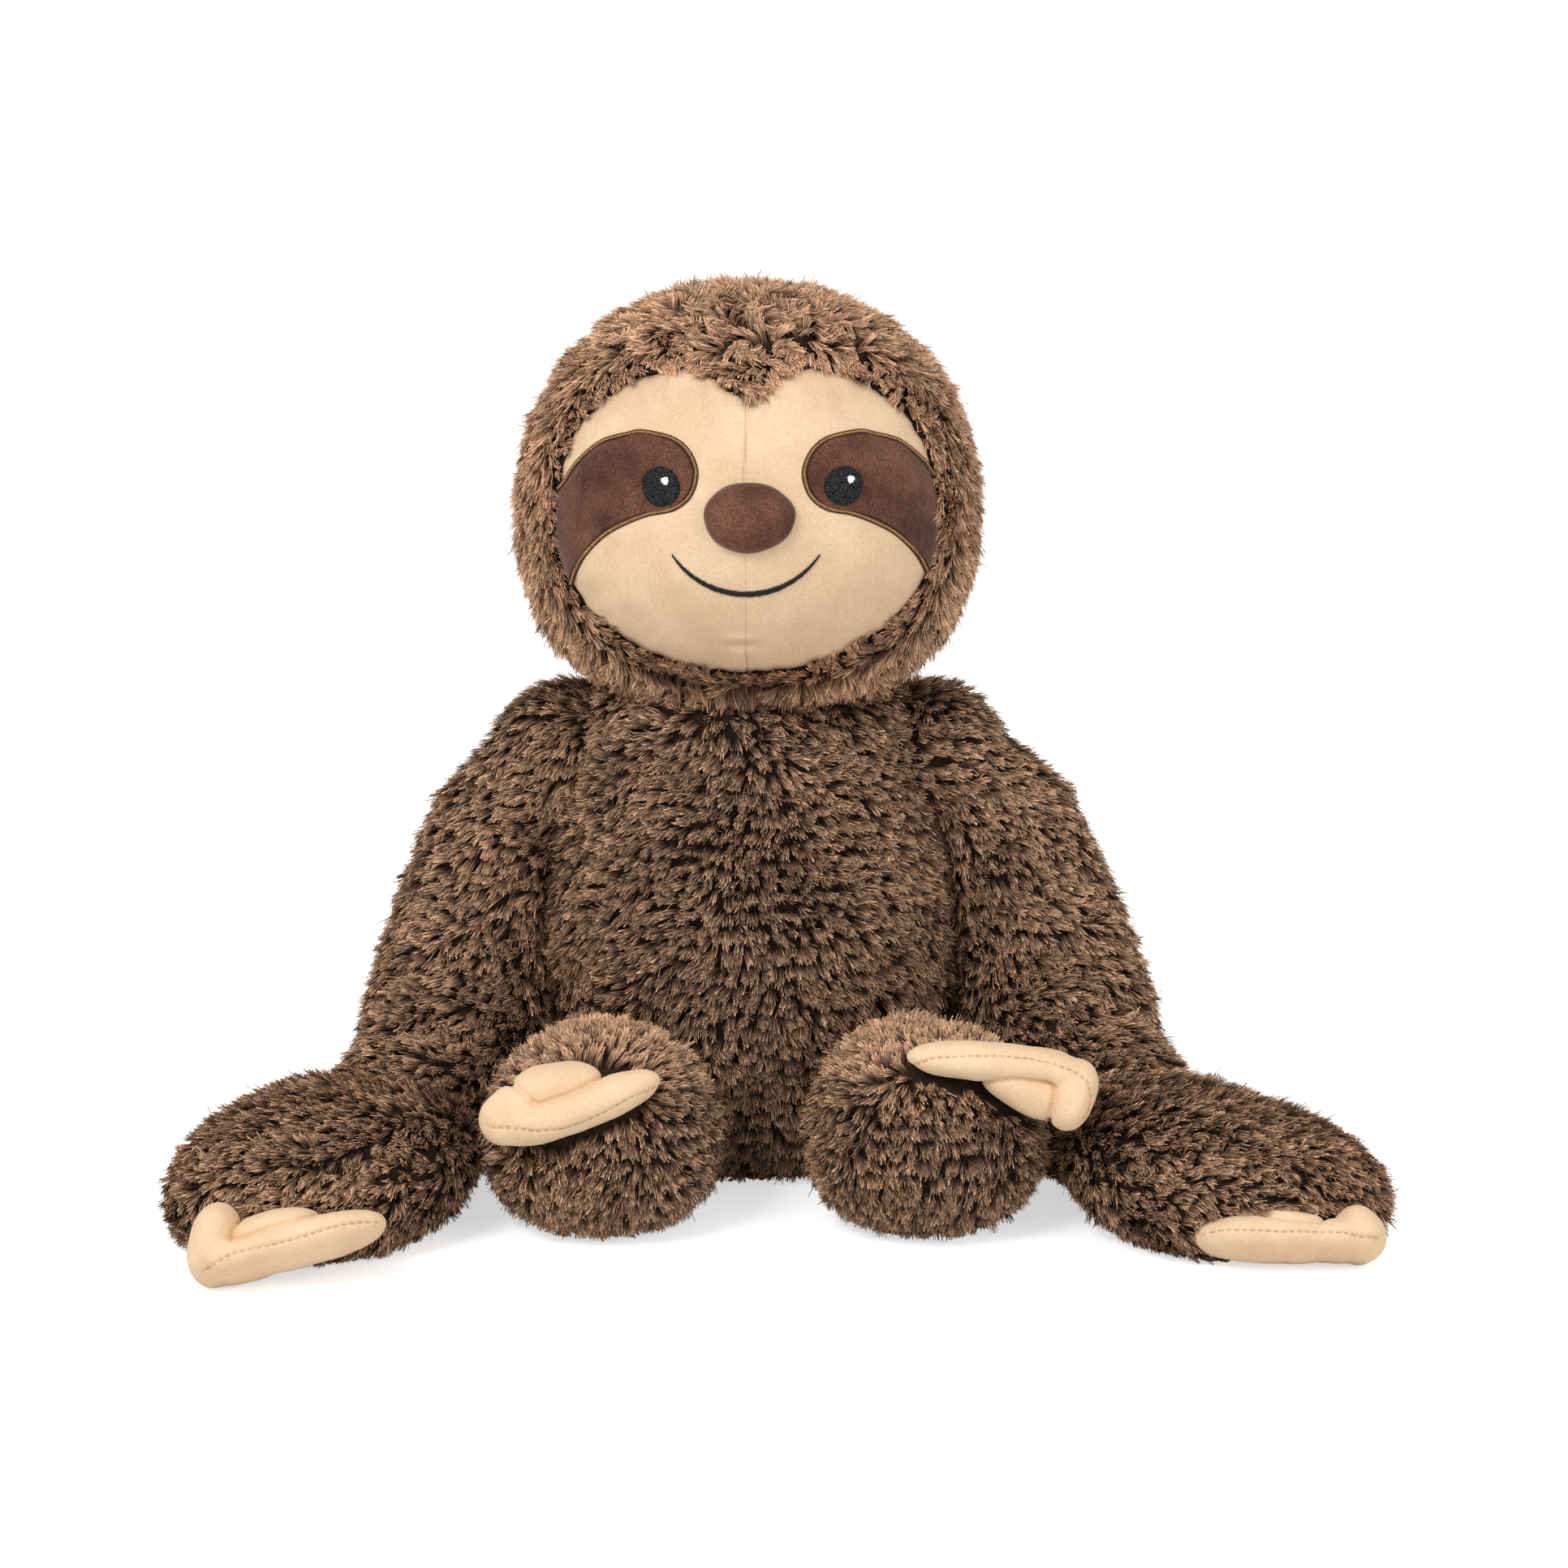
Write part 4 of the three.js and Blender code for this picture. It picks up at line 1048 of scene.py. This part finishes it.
def strands_of(places, ups, flow, lift, pile, tone_and_painted_light, root_u):
    """Bundles of strands that bend from the normal to the flow: points, faces, normals and UVs."""
    count = len(places)

    def noise(size, seed):
        return wave_noise(places, size * MM, seed)

    along = unit(flow - ups * (flow * ups).sum(1, keepdims=True))
    across = unit(np.cross(ups, along))
    turn = 0.6 * noise(26, 3) + 0.35 * noise(8, 4) + rng.normal(0, 0.28, count)
    cosine, sine = np.cos(turn)[:, None], np.sin(turn)[:, None]
    along, across = along * cosine + across * sine, across * cosine - along * sine
    rise = lift + 0.14 * noise(18, 5) + 0.12 * noise(7, 6)
    rise = np.clip(rise + rng.normal(0, 0.1, count), 0.15, 0.96)[:, None]
    uneven = 1 + 0.1 * noise(14, 9) + 0.1 * noise(7, 10)
    length = (pile * uneven * rng.uniform(0.85, 1.12, count))[:, None]
    tip = ups * rise + along * np.sqrt(1 - np.minimum(rise, 0.99) ** 2)
    # Each tuft's tone takes the light and shade that the comb paints.
    tuft_tone = 0.5 + tone_and_painted_light + 0.12 * noise(40, 13) + rng.normal(0, 0.18, count)
    tuft_tone = np.clip(tuft_tone, 0.05, 0.9)

    total = count * STRANDS
    tuft = np.repeat(np.arange(count), STRANDS)
    place, up = places[tuft], ups[tuft]
    angle = rng.uniform(0, 2 * math.pi, total)
    reach = TUFT_ROOT * np.sqrt(rng.random(total))
    off = across[tuft] * (np.cos(angle) * reach)[:, None]
    off = off + along[tuft] * (np.sin(angle) * reach * 0.8)[:, None]
    root = place + off - up * 0.8 * MM
    reach = length[tuft] * rng.uniform(0.8, 1.08, total)[:, None]
    end = place + off * 0.8 + rng.normal(0, TUFT_TIP, (total, 3)) + tip[tuft] * reach
    bend = place + off * 0.95 + up * reach * 0.42 + along[tuft] * reach * 0.12
    middle = 0.25 * root + 0.5 * bend + 0.25 * end
    stray = rng.random(total) < 0.02
    end[stray] += rng.normal(0, 1.6 * MM, (stray.sum(), 3))

    heading = unit(end - root)
    wide = unit(np.cross(heading, up))
    roll = rng.uniform(-0.9, 0.9, total)[:, None]
    wide = wide * np.cos(roll) + np.cross(heading, wide) * np.sin(roll)
    half = wide * (STRAND_WIDTH / 2 * rng.uniform(0.75, 1.25, total)[:, None])
    blunt = half * STRAND_TIP_SHARE
    corners = [root - half, root + half, middle - half, middle + half, end - blunt, end + blunt]
    points = np.stack(corners, 1).reshape(-1, 3)
    # Fur that would reach below the floor lies flat on it.
    low = FUR_FLOOR * (1 + np.tile(np.arange(6) % 2, total))
    points[:, 2] = np.maximum(points[:, 2], low)
    facing = np.cross(wide, heading)
    outward = (facing * up).sum(1, keepdims=True)
    facing *= np.sign(outward)
    shade = unit(up * 0.75 + facing * 0.55 + rng.normal(0, 0.26, (total, 3)))
    # The faces are turned so that their front is on the outside of the toy.
    faces = (np.arange(total)[:, None] * 6 + (0, 1, 3, 2, 2, 3, 5, 4)).reshape(-1, 4)
    turned = np.repeat(outward[:, 0] < 0, 2)
    faces[turned] = faces[turned][:, ::-1]
    tone = np.clip(tuft_tone[tuft] + rng.normal(0, 0.22, total), 0, 0.93)
    # A few strands take the top tone: painted highlights.
    tone[rng.random(total) < 0.02] = 1.0
    low_u = root_u[tuft]
    u = np.repeat(np.stack([low_u, 0.5 + 0.5 * low_u, low_u * 0 + 1], 1), 2, axis=1).ravel()
    return points, faces, np.repeat(shade, 6, axis=0), np.stack([u, np.repeat(tone, 6)], 1)


def fur_object(name, points, faces, normals, uv):
    mesh = bpy.data.meshes.new(name)
    mesh.vertices.add(len(points))
    mesh.vertices.foreach_set("co", points.astype(np.float32).ravel())
    mesh.loops.add(faces.size)
    mesh.loops.foreach_set("vertex_index", faces.astype(np.int32).ravel())
    mesh.polygons.add(len(faces))
    mesh.polygons.foreach_set("loop_start", np.arange(0, faces.size, 4, dtype=np.int32))
    cover(mesh, brown_fur)
    mesh.update()
    corner_uv = uv[faces.ravel()].astype(np.float32).ravel()
    for layer in ("strand", "OFBake"):
        mesh.uv_layers.new(name=layer).data.foreach_set("uv", corner_uv)
    mesh.normals_split_custom_set_from_vertices(normals.astype(np.float32))
    return link(name, mesh)


def rows(places, ups, gather):
    """Pulls places together into rows round the form, as the pile of the cloth lies."""
    height = places[:, 2] + 0.6 * TUFT_ROW * wave_noise(places, 60 * MM, 21)
    phase = 2 * math.pi * height / TUFT_ROW
    steep = np.abs(ups[:, 2])[:, None]
    rise = (0, 0, 1.0) - ups * ups[:, 2:3]
    pull = -TUFT_ROW_PULL * (gather * np.sin(phase))[:, None] * (1 - steep)
    return places + unit(rise) * pull


def on_face(places):
    """Places in millimetres across and up from the face's middle."""
    return places[:, 0] / MM, places[:, 2] / MM - FACE_CENTRE


def in_face(places, inset):
    """Which places lie on the face, further inside its edge than inset in millimetres."""
    return (places[:, 1] < -FACE_FORWARD * MM) & (edge_gap(*on_face(places)) > inset)


def settled(body, points):
    """Points of a body moved as its stuffing sags: feet spread, and one hand lies lower."""
    points = points.copy()
    x, y, z = points.T / MM
    if body in FOOT_OUT:
        low = ease(-z, -42, -4) * ease(-y, 75, 95)
        points[:, 0] += FOOT_SPREAD * (x - FOOT_OUT[body]) * low * MM
    if body == "right_arm":
        points[:, 2] *= 1 - HAND_SINK * ease(x, 150, 205)
        points[:, 0] += HAND_STRETCH * ease(x, 165, 225) * MM
    return points


def under_claws(places, ups, claws):
    """Which tufts would stand in or right behind a claw piece."""
    under = np.zeros(len(places), bool)
    for claw in claws:
        search = BVHTree.FromObject(claw, bpy.context.evaluated_depsgraph_get())
        for i, height in itertools.product(range(len(places)), CLAW_CLEARANCES):
            spot = Vector(places[i] + ups[i] * height)
            near, normal, _, far = search.find_nearest(spot, 12 * MM)
            if near is not None and (far < CLAW_MARGIN or (spot - near).dot(normal) < 0):
                under[i] = True
    return under


def make_skins(body, form, panels, tree, reach):
    """The backing cloth of each panel, from what lies near it on the body's form."""
    centres = read(form.data.polygons, "center")
    owner_of = owners_at(centres, tree, reach)
    owner_of[in_face(centres, SKIN_UNDER_FACE)] = ""
    for panel in panels:
        skin = link(panel + "_skin", form.data.copy())
        shape = bmesh.new()
        shape.from_mesh(skin.data)
        others = [f for f in shape.faces if owner_of[f.index] != panel]
        bmesh.ops.delete(shape, geom=others, context="FACES")
        shape.to_mesh(skin.data)
        shape.free()
        thicken(skin, SKIN_THICKNESS)
        move(skin.data, settled(body, arrays(skin.data)[0]))
        cover(skin.data, fur_backing)
        declare(skin, body, panel)


def make_panel_fur(body, panel, made):
    """The fur of a panel, in pieces that the export can write whole."""
    points, faces, normals, uv = made
    parts = math.ceil(len(faces) / MOST_FACES)
    for part in range(parts):
        mine = faces[part * MOST_FACES : (part + 1) * MOST_FACES]
        low, high = mine.min(), mine.max() + 1
        name = f"{panel}_fur" if parts == 1 else f"{panel}_fur_{part + 1}"
        piece = fur_object(name, points[low:high], mine - low, normals[low:high], uv[low:high])
        declare(piece, body, panel)


def make_stuffing(body, node, form):
    """The stuffing in a body's skin. Behind the face it keeps clear of the cushion's hollows."""
    points, normals = arrays(form.data)
    points = points - normals * 2 * SKIN_THICKNESS
    behind = in_face(points, -FACE_BACKING_REACH)
    x, z = on_face(points[behind])
    clear, _ = face_point(x, z, -FACE_BACKING - roll(np.maximum(edge_gap(x, z), 0)))
    points[behind, 1] = np.maximum(points[behind, 1], clear[:, 1])
    form.name = node + "_form"
    move(form.data, settled(body, points))
    cover(form.data, stuffing_fibre)
    declare(form, body, node)


def furred(body, comb, claws=()):
    """Makes a body's stuffing, the skin of each of its panels and the fur that stands on it.

    The hood covers all of the head but its face; elsewhere only what lies near a panel is covered.
    """
    head = body == "head"
    nodes = frame["record"]["behaviour"]["bodies"][body]
    panels = [node for node in nodes if node.endswith("_panel") and "face" not in node]
    form, tree = smooth_form(body + "_stuffing"), tree_of(panels)
    make_skins(body, form, panels, tree, WHOLE_HEAD if head else SKIN_REACH)

    places, ups = scatter(form, HEAD_TUFT_SPACING if head else TUFT_SPACING)
    count = len(places)
    *combed, gather = (np.broadcast_to(v, (count, *np.shape(v)[1:])) for v in comb(places))
    places = rows(places, ups, gather)
    panel_of = owners_at(places, tree, WHOLE_HEAD if head else FUR_REACH)
    panel_of[in_face(places, FUR_OVER_FACE)] = ""
    places = settled(body, places)
    panel_of[under_claws(places, ups, claws)] = ""
    for panel in panels:
        mine = panel_of == panel
        made = strands_of(places[mine], ups[mine], *(value[mine] for value in combed))
        make_panel_fur(body, panel, made)
    make_stuffing(body, body + "_stuffing", form)


def make_fur(claws):
    furred("head", comb_head)
    furred("torso", comb_torso)
    for side, word in SIDES:
        arm, leg = f"{word}_arm", f"{word}_leg"
        furred(arm, functools.partial(comb_arm, side), [claws[arm]])
        furred(leg, functools.partial(comb_leg, leg), [claws[leg]])


# Stage and camera


def make_camera():
    data = bpy.data.cameras.new("camera")
    data.sensor_width = SENSOR
    data.lens = SENSOR * FOCAL_PIXELS / PHOTO_PIXELS
    data.clip_end = 20
    camera = link("camera", data)
    back = Vector((0, -math.cos(CAMERA_ELEVATION), math.sin(CAMERA_ELEVATION)))
    camera.location = CAMERA_TARGET + back * CAMERA_DISTANCE
    camera.rotation_euler = (math.pi / 2 - CAMERA_ELEVATION, 0, 0)
    bpy.context.scene.camera = camera


def make_lamp(name, place, size, power):
    data = bpy.data.lights.new(name, "AREA")
    data.shape = "DISK"
    data.size = size
    data.energy = power
    lamp = link(name, data)
    lamp.location = place
    lamp.rotation_euler = (LIT - Vector(place)).to_track_quat("-Z", "Y").to_euler()


def make_stage():
    corners = [(-6, -6, 0), (6, -6, 0), (6, 6, 0), (-6, 6, 0)]
    mesh_object("floor", corners, [(0, 1, 2, 3)], floor_material())
    studio = Nodes("studio", "World")
    seen = studio.add("Background", {"Color": (1, 1, 1, 1)})
    light = studio.add("Background", {"Color": (1, 0.99, 0.975, 1), "Strength": 0.62})
    mix = studio.add("MixShader")
    studio.join(studio.add("LightPath").outputs["Is Camera Ray"], mix, "Fac")
    studio.join(light.outputs[0], mix, 1)
    studio.join(seen.outputs[0], mix, 2)
    studio.join(mix.outputs[0], studio.output, "Surface")
    bpy.context.scene.world = studio.block
    make_lamp("key", (-0.9, -1.3, 1.5), size=0.9, power=21)
    make_lamp("fill", (1.3, -1.2, 0.9), size=1.2, power=8)
    bpy.context.scene.view_settings.view_transform = "Standard"


def floor_material():
    """Pale floor that the camera sees as white, but for the object's shadow."""
    made = Nodes("pale_floor")
    diffuse = made.add("BsdfDiffuse", {"Color": (0.86, 0.86, 0.86, 1)})
    glow = made.add("Emission", {"Color": (1, 1, 1, 1)})
    strength = made.add("Math", {1: 0.6}, operation="MULTIPLY")
    made.join(made.add("LightPath").outputs["Is Camera Ray"], strength, 0)
    made.join(strength.outputs[0], glow, "Strength")
    both = made.add("AddShader")
    made.join(diffuse.outputs[0], both, 0)
    made.join(glow.outputs[0], both, 1)
    made.join(both.outputs[0], made.output, "Surface")
    return made.block


make_camera()
make_stage()
make_face()
make_fur(make_all_claws())
